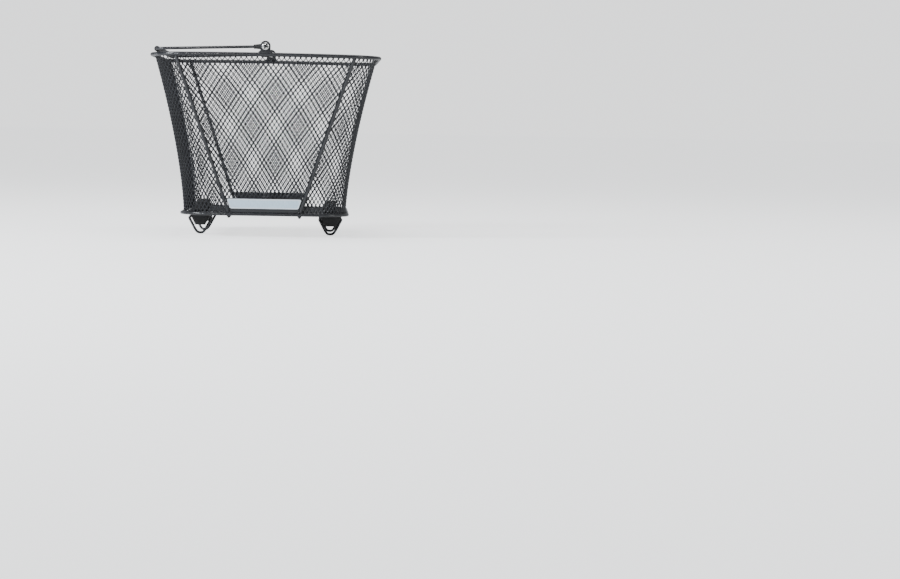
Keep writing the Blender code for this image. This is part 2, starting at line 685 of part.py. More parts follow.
def saddle_mesh(kit):
    """A right-hand saddle block about its bolt's axis, at the floor mesh's middle.

    It is a pad over the tube with a cheek down the tube's outer side, narrowing below the hinge.
    """
    inner, outer = TUBE_Y - PAD_INNER_Y, TUBE_Y - BLOCK_OUTER_Y
    cheek = TUBE_Y - CHEEK_INNER_Y
    fillet = arc((cheek + SEAT_FILLET, -PAD_DEPTH - SEAT_FILLET), SEAT_FILLET, 180, 90, 4)
    outline = [
        (outer, -FLOOR_UNDER),
        (outer, -CHEEK_DROP),
        (cheek, -CHEEK_DROP),
        *fillet,
        (inner, -PAD_DEPTH),
        (inner, -FLOOR_UNDER),
    ]
    half_x = block_half_x(0.0)
    flat = sheet(kit, "saddle_flat", [outline], 2 * half_x, kit.plastic)
    # The sheet's own X, Y and Z become the block's Y, Z and X.
    flat.matrix_world = Matrix(((0, 0, 1, 0), (1, 0, 0, 0), (0, 1, 0, 0), (0, 0, 0, 1)))
    saddle = add(kit, "saddle", bake(flat), kit.plastic)
    tools = []
    for sign in (1, -1):
        wedge = block(kit, "wedge", (2 * half_x, 4 * BLOCK_OUTER_Y, 6 * CHEEK_DROP), kit.plastic)
        shift = Matrix.Translation((sign * half_x, 0.0, -HOOK_AXIS_DROP))
        lean = Matrix.Rotation(sign * HOOK_LEG_ANGLE, 4, "Y")
        wedge.matrix_world = shift @ lean @ Matrix.Translation((sign * half_x, 0.0, 0.0))
        combine(kit, saddle, wedge, "DIFFERENCE")
        tools.append(wedge)
    hinge = prism(kit, "hinge_bore", HOOK_BORE, 6 * half_x, kit.plastic, sides=12)
    turn_to(hinge, (1, 0, 0))
    hinge.location = (0.0, TUBE_Y - HOOK_AXIS_Y, -HOOK_AXIS_DROP)
    bolt = prism(kit, "bolt_bore", BOLT_BORE, 6 * PAD_DEPTH, kit.plastic, sides=12)
    pocket_radius = (SADDLE_NUT_FLATS + 2 * GAP) / math.sqrt(3)
    pocket_depth = SADDLE_NUT_HEIGHT + GAP + RECESS_GAP
    pocket = prism(kit, "nut_pocket", pocket_radius, 2 * pocket_depth, kit.plastic, sides=6)
    pocket.location.z = -PAD_DEPTH
    for tool in (hinge, bolt, pocket):
        combine(kit, saddle, tool, "DIFFERENCE")
        tools.append(tool)
    mesh = bake(saddle)
    for tool in tools:
        bpy.data.objects.remove(tool)
    return mesh


def cap_mesh(kit):
    """The saddle's cap about its bolt's axis, at the floor mesh's middle, with a sunk bolt seat."""
    cap = block(kit, "cap", (CAP_SIDE, CAP_SIDE, CAP_HEIGHT), kit.plastic)
    cap.location.z = FLOOR_UNDER + CAP_HEIGHT / 2
    bevel(cap, CAP_BEVEL)
    top = FLOOR_UNDER + CAP_HEIGHT
    sink = BOLT_HEAD_HEIGHT + GAP + RECESS_GAP
    bore = prism(kit, "cap_bore", BOLT_BORE, 4 * CAP_HEIGHT, kit.plastic, sides=12)
    seat = prism(kit, "cap_seat", BOLT_HEAD / 2 + GAP, 2 * sink, kit.plastic)
    seat.location.z = top
    for tool in (bore, seat):
        combine(kit, cap, tool, "DIFFERENCE")
    mesh = bake(cap)
    for tool in (bore, seat):
        bpy.data.objects.remove(tool)
    return mesh


def bolt_mesh(kit):
    """The saddle bolt about its own axis, at the floor mesh's middle, head up."""
    head_top = FLOOR_UNDER + CAP_HEIGHT - RECESS_GAP
    head_foot = head_top - BOLT_HEAD_HEIGHT
    end = -PAD_DEPTH + RECESS_GAP
    chamfer = BOLT_HEAD_HEIGHT / 6
    profile = [
        (0.0, head_top),
        (BOLT_HEAD / 2 - chamfer, head_top),
        (BOLT_HEAD / 2, head_top - chamfer),
        (BOLT_HEAD / 2, head_foot),
        (BOLT_DIAMETER / 2, head_foot),
        (BOLT_DIAMETER / 2, end),
        (0.0, end),
    ]
    bolt = turned(kit, "bolt", profile, kit.zinc)
    socket = prism(kit, "bolt_socket", SOCKET_FLATS / math.sqrt(3), 2 * SOCKET_DROP, kit.zinc, sides=6)
    socket.location.z = head_top
    combine(kit, bolt, socket, "DIFFERENCE")
    mesh = bake(bolt)
    bpy.data.objects.remove(socket)
    return mesh


def make_hooks(kit):
    """The four rack fixings: cap, floor bolt and nut, saddle block and hinged wire hook."""
    shapes = {
        "saddle_block": (saddle_mesh(kit), kit.plastic, 0.0),
        "saddle_cap": (cap_mesh(kit), kit.plastic, 0.0),
        "saddle_bolt": (bolt_mesh(kit), kit.zinc, 0.0),
        "saddle_nut": (
            nut_mesh(kit, SADDLE_NUT_FLATS, SADDLE_NUT_HEIGHT, BOLT_BORE),
            kit.zinc,
            -PAD_DEPTH + RECESS_GAP + SADDLE_NUT_HEIGHT / 2,
        ),
    }
    for side, sign_y, turn in (("right", -1, 0.0), ("left", 1, math.pi)):
        for end, sign_x in (("front", 1), ("rear", -1)):
            for kind, (mesh, material, lift) in shapes.items():
                piece = add(kit, f"{kind}_{side}_{end}", mesh, material)
                piece.location = (sign_x * HOOK_X, sign_y * TUBE_Y, FLOOR_Z + lift)
                piece.rotation_euler.z = turn
            hook = wire(kit, f"rack_hook_{side}_{end}", hook_path(), HOOK_WIRE, kit.black_wire)
            hook.location = (sign_x * HOOK_X, sign_y * HOOK_AXIS_Y, FLOOR_Z - HOOK_AXIS_DROP)
            hook.rotation_euler.z = turn


def main():
    kit = Kit()
    make_rim(kit)
    make_base(kit)
    make_wall(kit)
    make_floor(kit)
    make_runners(kit)
    make_struts(kit)
    make_side_plates(kit)
    make_lugs(kit)
    make_pivot_screws(kit)
    make_handle(kit)
    make_hooks(kit)


main()
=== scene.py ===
"""Bicycle rear-rack basket: expanded mesh, wires, panels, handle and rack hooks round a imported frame.

Metres, +Z up. +X is the bicycle's forward direction and +Y its left side. The basket stands on the noses
of its four hooks, with its handle folded back on the rim.
"""

import json
import math

import bpy
import numpy as np
from mathutils import Matrix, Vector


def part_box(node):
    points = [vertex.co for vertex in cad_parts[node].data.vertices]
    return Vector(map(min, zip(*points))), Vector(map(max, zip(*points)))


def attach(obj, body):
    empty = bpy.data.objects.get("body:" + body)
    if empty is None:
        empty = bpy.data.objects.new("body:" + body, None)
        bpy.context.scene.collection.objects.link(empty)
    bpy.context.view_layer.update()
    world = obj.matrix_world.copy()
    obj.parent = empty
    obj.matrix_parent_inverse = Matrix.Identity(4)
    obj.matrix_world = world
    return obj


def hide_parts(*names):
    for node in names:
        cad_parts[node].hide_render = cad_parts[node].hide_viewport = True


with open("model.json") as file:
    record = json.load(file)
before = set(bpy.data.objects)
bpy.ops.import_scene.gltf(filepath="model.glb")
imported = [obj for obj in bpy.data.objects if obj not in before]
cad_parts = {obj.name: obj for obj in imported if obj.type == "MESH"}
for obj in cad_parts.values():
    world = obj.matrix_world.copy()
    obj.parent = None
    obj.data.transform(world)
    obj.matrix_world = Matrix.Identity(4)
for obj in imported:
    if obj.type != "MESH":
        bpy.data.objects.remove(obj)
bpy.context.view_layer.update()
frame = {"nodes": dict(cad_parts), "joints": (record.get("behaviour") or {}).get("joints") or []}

bl_info = {
    "name": "Rear Rack Basket",
    "version": (1, 0, 0),
    "blender": (4, 5, 0),
    "location": "3D View > Sidebar > Basket",
    "description": "Builds an expanded-mesh basket for a bicycle's rear rack",
    "category": "Add Mesh",
}

GAP = 0.0003  # clearance between pieces that touch
FULL_TURN = 2 * math.pi
QUARTER = math.pi / 2
X_AXIS, Y_AXIS, Z_AXIS = np.eye(3)
SIDES = {"right": -1, "left": 1}
ENDS = {"front": 1, "rear": -1}

# Shapes that the frame's boxes don't give, in metres
RIM_CORNER = 0.050
BASE_CORNER = 0.042
FLARE_POWER = 1.5
SHEET = 0.0015  # thickness of the mesh as a whole
BOND_SHARE = 0.40  # of a strand's width, from a bond's middle to each strand's; below a half they merge
MESH_ABOVE_RIM = 0.001
STRUT_TOP_X = 0.122
STRUT_FOOT_X = 0.049
PLATE_SHEET = 0.0012
PLATE_TOP = 0.0225
PANEL_SHEET = 0.0015
PANEL_FOOT = 0.008
PANEL_CORNER = 0.003
LUG_SHEET = 0.003
LUG_HALF = 0.007
LUG_FOOT_FILLET = 0.0025
LUG_HEAD_RISE = 0.0008
HANDLE_BEND = 0.012
FITTING_THICKNESS = 0.006
FITTING_RADIUS = 0.006
STEM_LENGTH = 0.016
STEM_ROOT = 0.0042
STEM_MOUTH = 0.0029
SOCKET_DEPTH = 0.008
SCREW_HEAD = 0.0052
SCREW_RISE = 0.0030
SCREW_EDGE = 0.0008
SCREW_SHANK = 0.0020
RECESS_TURN = math.radians(20)
HOOK_TOP_X = 0.017
HOOK_LEG_ANGLE = math.radians(28)
HOOK_TOP_BEND = 0.0024
HOOK_NOSE = 0.0044
HOOK_STRAIGHT = 0.015
HOOK_FOLD = 0.008
HOOK_FOLD_ANGLE = math.radians(65)
HOOK_STUB = 0.005
SADDLE_EDGE = 0.0006  # width of the rounded edges
PANEL_UPPER_CORNER = 0.0018
PANEL_BELOW = 0.001  # the plate's top
PANEL_BORDER = 0.0015  # plate that shows beside the panel
PANEL_EDGE = 0.00045
PLATE_CORNER = 0.0008
PLATE_EDGE = 0.00035
LUG_SEAT_RISE = 0.001
LUG_EDGE = 0.0005
FITTING_EDGE = 0.0006
GRIP_ROLL = 0.0007  # rounding of the sleeve's ends
GRIP_BARREL = 0.035  # share by which the sleeve narrows towards its ends
GRIP_LIP = 0.00012
PIVOT_WASHER = 0.001
PIVOT_NUT = 0.0032
CROSS_LENGTH = 0.0072
CROSS_WIDTH = 0.0019
CROSS_DEPTH = 0.0018
BOLT_HEAD = 0.00425
BOLT_HEAD_HEIGHT = 0.0036
BOLT_SHANK = 0.0025
SOCKET_FLATS = 0.004
SOCKET_SINK = 0.002
CAP_CORNER = 0.0035
CAP_FLANGE = 0.0026
CAP_SEAT = 0.0047  # radius of the counterbore
CAP_BORE = 0.0028
CAP_SINK = 0.0042
STRUT_TUCK = 0.0012  # a strut's top behind the rim's lower side
RECESS_SLOPE = 0.00022  # over which a driver's recess falls to its floor
THREAD_DEPTH = 0.00022
THREAD_POINT = 0.0003  # by which a thread's last turn draws in
STRAND_FLAT = 0.62  # share of a strand's width that is flat, between its bevels
STRAND_SMOOTH = math.radians(75)  # edges up to this angle are shaded smooth
RING_STEPS = 320  # round the rim and the base wire
WIRE_WEAR = 0.1
WIRE_EASE = 0.0006  # rounding of a cut wire's ends
END_ROWS = 5  # that round the end of a tube
BEAD_SINK = 0.0004  # of a weld bead's middle into the wire
BEAD_SIDE = 0.42  # of a strut's thickness, from its middle to a bead's
BEAD_TIP = 0.12  # angle left off at a bead's tips
BEAD_RIPPLE = 0.10
STRUT_BEAD = (0.0021, 0.0011, 0.0011)  # half length, rise and half width of a weld bead
RUNNER_BEAD = (0.0034, 0.0011, 0.0012)
RUNNER_BEAD_RISE = 0.0012  # over a runner's middle
LUG_BEAD = (0.0088, 0.0008, 0.0009)
LUG_BEAD_OUT = 0.0019  # from a lug's middle to the beads at its faces
DAB_BEAD = (0.0019, 0.0009, 0.0008)
DABS = 56  # welds from the mesh to the rim


# ---------------- sizes and finishes


def length(name, description, default, low, high):
    return bpy.props.FloatProperty(
        name=name, description=description, default=default, min=low, max=high, precision=4, unit="LENGTH"
    )


class BasketSizes(bpy.types.PropertyGroup):
    """Sizes of the wires and of the mesh."""

    rim_wire: length("Rim wire", "Wire round the mouth", 0.0055, 0.002, 0.006)
    base_wire: length("Base wire", "Wire round the foot", 0.0045, 0.002, 0.006)
    strut_wire: length("Strut wire", "Side struts", 0.0048, 0.002, 0.006)
    runner_wire: length("Floor runner", "Cross wires under the floor", 0.0045, 0.002, 0.006)
    handle_wire: length("Handle wire", "Wire of the folding handle", 0.0040, 0.002, 0.005)
    grip_diameter: length("Grip", "Outer diameter of the sleeve on the handle", 0.0080, 0.005, 0.010)
    hook_wire: length("Hook wire", "Wire of the rack hooks", 0.0036, 0.002, 0.004)
    cell_width: length("Cell width", "Width of a mesh cell halfway up the wall", 0.0063, 0.004, 0.020)
    cell_height: length("Cell height", "Height of a mesh cell up the wall", 0.00975, 0.006, 0.030)
    strand_width: length("Strand width", "Width of one strand of the mesh", 0.00150, 0.0006, 0.002)
    strand_thickness: length("Strand thickness", "The mesh's sheet with its coat", 0.0009, 0.0004, 0.0014)
    bond_length: length("Bond length", "How far two strands stay joined", 0.0017, 0.0008, 0.004)
    strand_tilt: bpy.props.FloatProperty(
        name="Strand tilt", description="Turn of the strands out of the sheet's plane",
        default=math.radians(24), min=0.0, max=math.radians(50), unit="ROTATION",
    )


def colour(name, description, *default):
    return bpy.props.FloatVectorProperty(
        name=name, description=description, default=default, min=0.0, max=1.0, size=3, subtype="COLOR"
    )


class BasketFinish(bpy.types.PropertyGroup):
    """Colours of the coats and of what lies on them."""

    coat: colour("Wire coat", "Satin powder coat on the wires and plates", 0.0075, 0.0082, 0.0112)
    mesh: colour("Mesh coat", "Powder coat on the expanded mesh", 0.0115, 0.0126, 0.0165)
    plastic: colour("Plastic", "Moulded saddles and handle fittings", 0.0085, 0.0085, 0.0095)
    grip: colour("Grip", "Soft sleeve on the handle", 0.0070, 0.0074, 0.0090)
    zinc: colour("Zinc", "Plated screws and nuts", 0.78, 0.78, 0.76)
    bare_steel: colour("Bare steel", "Steel where the coat is rubbed through", 0.33, 0.33, 0.34)
    panel: colour("Reflector", "Pale reflective panel", 0.52, 0.69, 0.84)
    panel_border: colour("Reflector border", "Sealed border of the panel", 0.80, 0.87, 0.93)
    dust: colour("Dust", "Dust that settles on upward faces", 0.36, 0.35, 0.33)
    floor: colour("Floor", "Pale studio floor", 0.86, 0.86, 0.86)


# ---------------- mesh helpers


def unit(vectors):
    """Vectors of length one along the last axis."""
    return vectors / np.linalg.norm(vectors, axis=-1, keepdims=True)


def grid_faces(rows, columns, wrap_rows=False, wrap_columns=True):
    """Quads between neighbours of a grid of points that is numbered row by row."""
    row = np.arange(rows if wrap_rows else rows - 1)[:, None]
    column = np.arange(columns if wrap_columns else columns - 1)[None, :]
    below, beside = (row + 1) % rows, (column + 1) % columns
    corners = [(row, column), (row, beside), (below, beside), (below, column)]
    numbers = [here * columns + along for here, along in corners]
    return np.stack(np.broadcast_arrays(*numbers), axis=-1).reshape(-1, 4)


class Shape:
    """Points, faces and per-point values that grow grid by grid and end as one mesh; the values are edge
    wear, and painted shade in the plated screws' cross recesses.
    """

    def __init__(self):
        self.points, self.faces, self.wear, self.count = [], [], [], 0

    def add(self, grid, wrap_rows=False, wear=0.0):
        """A (rows, columns, 3) grid of rings, or a stack of such grids; one face closes each open end."""
        grid = grid.reshape(-1, *grid.shape[-3:])
        pieces, rows, columns, _ = grid.shape
        start = self.count + np.arange(pieces)[:, None] * rows * columns
        quads = grid_faces(rows, columns, wrap_rows)
        self.points.append(grid.reshape(-1, 3))
        self.wear.append(np.broadcast_to(wear, grid.shape[:3]).reshape(-1))
        self.faces.append((start[..., None] + quads).reshape(-1, 4))
        if not wrap_rows:
            ring = np.arange(columns)
            self.faces.extend([start + ring[::-1], start + (rows - 1) * columns + ring])
        self.count += pieces * rows * columns
        return self

    def finish(self, name, finish, *replaces, body="basket", smooth=math.radians(40)):
        """The mesh as an object at the origin that rides on its body and stands for CAD nodes."""
        points = np.concatenate(self.points)
        sizes = np.concatenate([np.full(len(block), block.shape[1]) for block in self.faces])
        corners = np.concatenate([block.ravel() for block in self.faces])
        mesh = bpy.data.meshes.new(name)
        mesh.vertices.add(len(points))
        mesh.vertices.foreach_set("co", points.astype(np.float32).ravel())
        mesh.loops.add(len(corners))
        mesh.loops.foreach_set("vertex_index", corners.astype(np.int32))
        mesh.polygons.add(len(sizes))
        mesh.polygons.foreach_set("loop_start", (np.cumsum(sizes) - sizes).astype(np.int32))
        mesh.update(calc_edges=True)
        mesh.shade_smooth()
        mesh.set_sharp_from_angle(angle=smooth)
        # Per-point values: edge wear, and on the plated screws painted shade in their cross recesses.
        wear = mesh.attributes.new("wear", "FLOAT", "POINT")
        wear.data.foreach_set("value", np.concatenate(self.wear).astype(np.float32))
        return place(name, mesh, finish, replaces, body)


def place(name, mesh, finish, replaces, body="basket"):
    """Link a mesh as a piece of the object with its finish's material; the finish is a slot's name and a
    material, and the slot's name is not used.
    """
    slot, material = finish
    piece = bpy.data.objects.new(name, mesh)
    mesh.materials.clear()
    mesh.materials.append(material)
    bpy.context.scene.collection.objects.link(piece)
    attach(piece, body)
    if replaces:
        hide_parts(*replaces)
    return piece


def softened(node, name, finish, width):
    """A copy of a frame node with merged points, flat faces made whole and its edges rounded."""
    mesh = frame["nodes"][node].data.copy()
    mesh.name = name
    piece = place(name, mesh, finish, (node,))
    steps = (
        ("WELD", {"merge_threshold": 0.00001}),
        ("DECIMATE", {"decimate_type": "DISSOLVE", "angle_limit": math.radians(1)}),
        ("BEVEL", {
            "width": width, "segments": 2, "limit_method": "ANGLE", "angle_limit": math.radians(50),
        }),
    )
    for kind, settings in steps:
        modifier = piece.modifiers.new(kind.lower(), kind)
        for key, value in settings.items():
            setattr(modifier, key, value)
    bpy.context.view_layer.update()
    graph = bpy.context.evaluated_depsgraph_get()
    done = bpy.data.meshes.new_from_object(piece.evaluated_get(graph))
    piece.modifiers.clear()
    piece.data = done
    done.shade_smooth()
    done.set_sharp_from_angle(angle=math.radians(35))
    return piece


def tube(path, radius, across, sides=16, closed=False, ease=0.0):
    """Round rings carried along a path.

    Each ring is centre + radius * (cos a * side + sin a * other), where side is the path's tangent
    crossed with the given across direction and other completes the frame. With ease, the ends are
    rounded: rows are added whose radius falls by ease * (1 - cos b) as they move on by ease * sin b.
    """
    path = np.asarray(path, float)
    if closed:
        tangent = unit(np.roll(path, -1, axis=0) - np.roll(path, 1, axis=0))
    else:
        tangent = unit(np.gradient(path, axis=0))
    across = np.broadcast_to(np.asarray(across, float), path.shape)
    radius = np.broadcast_to(np.asarray(radius, float), len(path))
    if ease and not closed:
        turn = np.linspace(0, QUARTER, END_ROWS)
        inwards, along = ease * (1 - np.cos(turn)), ease * np.sin(turn)
        first = path[0] - tangent[0] * (along[::-1, None] - ease)
        last = path[-1] + tangent[-1] * (along[:, None] - ease)
        path = np.concatenate([first, path[1:-1], last])
        radius = np.concatenate([radius[0] - inwards[::-1], radius[1:-1], radius[-1] - inwards])
        tangent, across = with_end_rows(tangent), with_end_rows(across)
    side = unit(np.cross(tangent, across))
    other = np.cross(tangent, side)
    turn = full_turn(sides)[:, None]
    ring = np.cos(turn) * side[:, None] + np.sin(turn) * other[:, None]
    return path[:, None] + radius[:, None, None] * ring


def with_end_rows(values):
    """Values along a path, repeated for the rows that round its ends."""
    first, last = (np.repeat(values[end], END_ROWS, axis=0) for end in (slice(0, 1), slice(-1, None)))
    return np.concatenate([first, values[1:-1], last])


def full_turn(steps):
    """Evenly spaced angles once round."""
    return np.linspace(0, FULL_TURN, steps, endpoint=False)


def about_axis(radius, height, turn, centre, axis, across):
    """Points from a radius, a height and a turn about an axis through the centre."""
    x, y = radius * np.cos(turn), radius * np.sin(turn)
    other = np.cross(axis, across)
    flat = x[..., None] * across + y[..., None] * other
    return np.asarray(centre) + flat + (height + 0 * turn)[..., None] * np.asarray(axis, float)


def turned(profile, centre, axis, across, steps=48):
    """A profile of (radius, height) rows turned about an axis through the centre."""
    radius, height = np.asarray(profile, float).T[..., None]
    return about_axis(radius, height, full_turn(steps), centre, axis, across)


def arc(centre, radius, start, end, steps):
    """Points (x, y) on an arc between two angles in degrees."""
    turn = np.radians(np.linspace(start, end, steps + 1))
    return np.stack([centre[0] + radius * np.cos(turn), centre[1] + radius * np.sin(turn)], axis=-1)


def inset(outline, by):
    """A closed counter-clockwise outline moved inwards, each corner along its mitre."""
    edge = np.roll(outline, -1, axis=0) - outline
    outwards = unit(np.stack([edge[:, 1], -edge[:, 0]], axis=-1))
    before = np.roll(outwards, 1, axis=0)
    mitre = (outwards + before) / (1 + np.sum(outwards * before, axis=-1, keepdims=True))
    return outline - by * mitre


def plate(outline, rows, origin, right, up):
    """A plate from its outline and (inset, height) rows, in a frame of right, up and their cross."""
    right, up = np.asarray(right, float), np.asarray(up, float)
    rings = np.stack([inset(outline, by) for by, _ in rows])
    height = np.array([rise for _, rise in rows])[:, None, None]
    flat = rings[..., :1] * right + rings[..., 1:] * up
    return np.asarray(origin) + flat + height * np.cross(right, up)


def rounded_rows(thickness, edge, steps=4):
    """(inset, height) rows of a plate about its middle, with its two edges rounded."""
    turn = np.linspace(0, QUARTER, steps + 1)
    half = thickness / 2
    low = [(edge * (1 - math.sin(t)), -half + edge * (1 - math.cos(t))) for t in turn]
    return low + [(by, -rise) for by, rise in reversed(low)]


def edge_wear(rows, amount):
    """Wear of a plate's rows: none on its two faces, the given amount along its edges."""
    return np.array([0.0, *[amount] * (len(rows) - 2), 0.0])[:, None]


# ---------------- basket surface


class Form:
    """Where the rim, the base and the mesh wall run, worked out from the frame's boxes."""

    def __init__(self, sizes):
        rim_low, rim_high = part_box("rim_rod")
        base_low, base_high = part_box("base_rod")
        half_rim, half_base = sizes.rim_wire / 2, sizes.base_wire / 2
        self.rim = (rim_high.x - half_rim, rim_high.y - half_rim, RIM_CORNER)
        self.base = (base_high.x - half_base, base_high.y - half_base, BASE_CORNER)
        self.rim_end_z = rim_low.z + half_rim
        self.rim_mid_z = rim_high.z - half_rim
        self.floor_z = (base_low.z + base_high.z) / 2
        self.depth = self.rim_end_z - self.floor_z
        self.mouth = tuple(size - half_rim - GAP for size in self.rim)
        self.foot = tuple(size - half_base - GAP for size in self.base)
        self.strut_slope = (STRUT_TOP_X - STRUT_FOOT_X) / self.depth
        self.pivot_z = frame["joints"][0]["pos_m"][2]
        self.lug_y = self.rim[1]
        self.fitting_y = self.lug_y - LUG_SHEET / 2 - GAP - FITTING_THICKNESS / 2
        low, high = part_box("grip_sleeve")
        drop = self.pivot_z - (low.z + high.z) / 2
        back = -(low.x + high.x) / 2
        self.handle_reach = math.hypot(drop, back)
        self.handle_rest = math.atan2(drop, back)

    def rim_height(self, x):
        """Height of the rim wire's centre: a parabola along the bicycle, level across it."""
        return self.rim_end_z + (self.rim_mid_z - self.rim_end_z) * (1 - (x / self.rim[0]) ** 2)

    def plan(self, share):
        """Half length, half width and corner radius at a share of the wall's height."""
        flare = np.asarray(share, float) ** FLARE_POWER
        return tuple(low + (high - low) * flare for low, high in zip(self.foot, self.mouth))

    def wall(self, share, around):
        """Points on the wall's outer face, from a share of its height and a share of the way round."""
        x, y = rounded_rectangle(*self.plan(share), around)
        mouth_x, _ = rounded_rectangle(*self.mouth, around)
        foot = self.floor_z - SHEET / 2
        top = self.rim_height(mouth_x) + MESH_ABOVE_RIM
        return np.stack(np.broadcast_arrays(x, y, foot + (top - foot) * share), axis=-1)

    def side_point(self, x, height):
        """Points on the wall's outer face on the +Y side, at a distance along and over the base."""
        share = height / self.depth
        half_x, half_y, radius = self.plan(share)
        past = np.maximum(0.0, np.abs(x) - (half_x - radius))
        run = np.sqrt(radius**2 - past**2)
        outwards = np.stack([np.sign(x) * past / radius, run / radius, 0 * run], axis=-1)
        level = self.floor_z + share * (self.rim_height(x) - self.floor_z)
        return np.stack([x, half_y - radius + run, level], axis=-1), outwards

    def strut_x(self, height):
        """Distance of a strut from the middle of its side."""
        return STRUT_FOOT_X + self.strut_slope * height


def rounded_rectangle(half_x, half_y, radius, around):
    """Points on a rounded rectangle at shares of its perimeter, from the +X side's middle towards +Y.

    A quarter is worked out as a straight, an arc and a straight, and mirrored into the other three.
    """
    around = np.asarray(around, float) % 1.0
    quarter = (half_y - radius) + radius * QUARTER + (half_x - radius)
    number = np.minimum(np.floor(around * 4), 3)
    along = (around * 4 - number) * quarter
    odd = number % 2 == 1
    along = np.where(odd, quarter - along, along)
    turn = np.clip((along - (half_y - radius)) / radius, 0.0, QUARTER)
    past = np.maximum(along - (half_y - radius) - radius * QUARTER, 0.0)
    x = half_x - radius + radius * np.cos(turn) - past
    y = np.minimum(along, half_y - radius) + radius * np.sin(turn)
    return np.where((number == 1) | (number == 2), -x, x), np.where(number >= 2, -y, y)


# ---------------- shader node groups


def connect(tree, inputs, values):
    """Link sockets to a node's inputs, or set plain values on them."""
    for key, value in dict(values).items():
        if isinstance(value, bpy.types.NodeSocket):
            tree.links.new(value, inputs[key])
        else:
            inputs[key].default_value = value


def add_node(tree, kind, inputs=(), **settings):
    """A shader node with its settings and its inputs."""
    made = tree.nodes.new(f"ShaderNode{kind}")
    for key, value in settings.items():
        setattr(made, key, value)
    connect(tree, made.inputs, inputs)
    return made


def new_group(name, inputs, outputs):
    """A node group with a Vector input, float inputs with their defaults, and float outputs."""
    tree = bpy.data.node_groups.new(name, "ShaderNodeTree")
    tree.interface.new_socket("Vector", in_out="INPUT", socket_type="NodeSocketVector")
    for label, default in inputs.items():
        socket = tree.interface.new_socket(label, in_out="INPUT", socket_type="NodeSocketFloat")
        socket.default_value = default
    for label in outputs:
        tree.interface.new_socket(label, in_out="OUTPUT", socket_type="NodeSocketFloat")
    return tree, tree.nodes.new("NodeGroupInput").outputs, tree.nodes.new("NodeGroupOutput").inputs


def ramp(tree, value, low, high):
    """0 below low, 1 above high and smooth between."""
    inputs = {"Value": value, "From Min": low, "From Max": high}
    return add_node(tree, "MapRange", inputs, interpolation_type="SMOOTHSTEP").outputs["Result"]


def calculate(tree, operation, *values):
    """One math node on two or three values."""
    return add_node(tree, "Math", enumerate(values), operation=operation).outputs[0]


def noise(tree, vector, scale, detail):
    inputs = {"Vector": vector, "Scale": scale, "Detail": detail}
    return add_node(tree, "TexNoise", inputs).outputs["Fac"]


def mix(tree, share, first, second):
    """A colour between two, by a share."""
    inputs = {"Factor": share, 6: first, 7: second}
    return add_node(tree, "Mix", inputs, data_type="RGBA").outputs[2]


def bump(tree, height, distance):
    return add_node(tree, "Bump", {"Height": height, "Distance": distance, "Strength": 1.0}).outputs[0]


def attribute(tree, name):
    return add_node(tree, "Attribute", attribute_name=name).outputs["Fac"]


def coat_texture_group():
    """Orange peel of a baked powder coat: two noises added, with a slow change of tone."""
    tree, given, out = new_group(
        "coat_texture", {"Peel Scale": 900.0, "Fine Share": 0.3}, ("Height", "Tone")
    )
    peel = noise(tree, given["Vector"], given["Peel Scale"], 2.0)
    grit = noise(tree, given["Vector"], calculate(tree, "MULTIPLY", given["Peel Scale"], 4.3), 1.0)
    small = calculate(tree, "MULTIPLY", grit, given["Fine Share"])
    slow = noise(tree, given["Vector"], 28.0, 3.0)
    height = calculate(tree, "ADD", peel, small)
    connect(tree, out, {"Height": height, "Tone": ramp(tree, slow, 0.3, 0.7)})
    return tree


def edge_wear_group():
    """Where the coat is rubbed thin: the piece's wear attribute broken up by noise."""
    tree, given, out = new_group("edge_wear", {"Amount": 0.5, "Scale": 420.0}, ("Mask",))
    rubbed = attribute(tree, "wear")
    reach = calculate(tree, "MULTIPLY", rubbed, given["Amount"])
    both = calculate(tree, "ADD", noise(tree, given["Vector"], given["Scale"], 4.0), reach)
    shown = calculate(tree, "MULTIPLY", ramp(tree, both, 0.86, 1.02), ramp(tree, rubbed, 0.02, 0.2))
    connect(tree, out, {"Mask": shown})
    return tree


def dust_group():
    """Dust on faces that look upwards, thicker where a slow noise is high."""
    tree, given, out = new_group("settled_dust", {"Amount": 0.2}, ("Mask",))
    facing = add_node(tree, "NewGeometry").outputs["Normal"]
    parts = add_node(tree, "SeparateXYZ", {"Vector": facing})
    upwards = ramp(tree, parts.outputs["Z"], 0.35, 1.0)
    thick = ramp(tree, noise(tree, given["Vector"], 160.0, 6.0), 0.35, 0.75)
    patches = calculate(tree, "MULTIPLY", upwards, thick)
    connect(tree, out, {"Mask": calculate(tree, "MULTIPLY", patches, given["Amount"])})
    return tree


def plating_group():
    """Fine turning marks on a plated fastener, drawn out along Y, and a faint cloud in its tone."""
    tree, given, out = new_group("plating", {"Scale": 2600.0}, ("Height", "Tone"))
    stretched = add_node(tree, "Mapping", {"Vector": given["Vector"], "Scale": (1.0, 0.15, 1.0)})
    marks = noise(tree, stretched.outputs[0], given["Scale"], 3.0)
    cloud = noise(tree, given["Vector"], 330.0, 3.0)
    connect(tree, out, {"Height": marks, "Tone": ramp(tree, cloud, 0.3, 0.7)})
    return tree


def cells_group():
    """Sealed cells of a reflective sheet: raised walls, and a tint that differs a little by cell."""
    tree, given, out = new_group("reflective_cells", {"Scale": 420.0}, ("Walls", "Tint"))
    inputs = {"Vector": given["Vector"], "Scale": given["Scale"], "Randomness": 0.12}
    edge = add_node(tree, "TexVoronoi", inputs, feature="DISTANCE_TO_EDGE").outputs["Distance"]
    colour_of_cell = add_node(tree, "TexVoronoi", inputs).outputs["Color"]
    parts = add_node(tree, "SeparateXYZ", {"Vector": colour_of_cell})
    walls = calculate(tree, "SUBTRACT", 1.0, ramp(tree, edge, 0.02, 0.09))
    connect(tree, out, {"Walls": walls, "Tint": parts.outputs["X"]})
    return tree


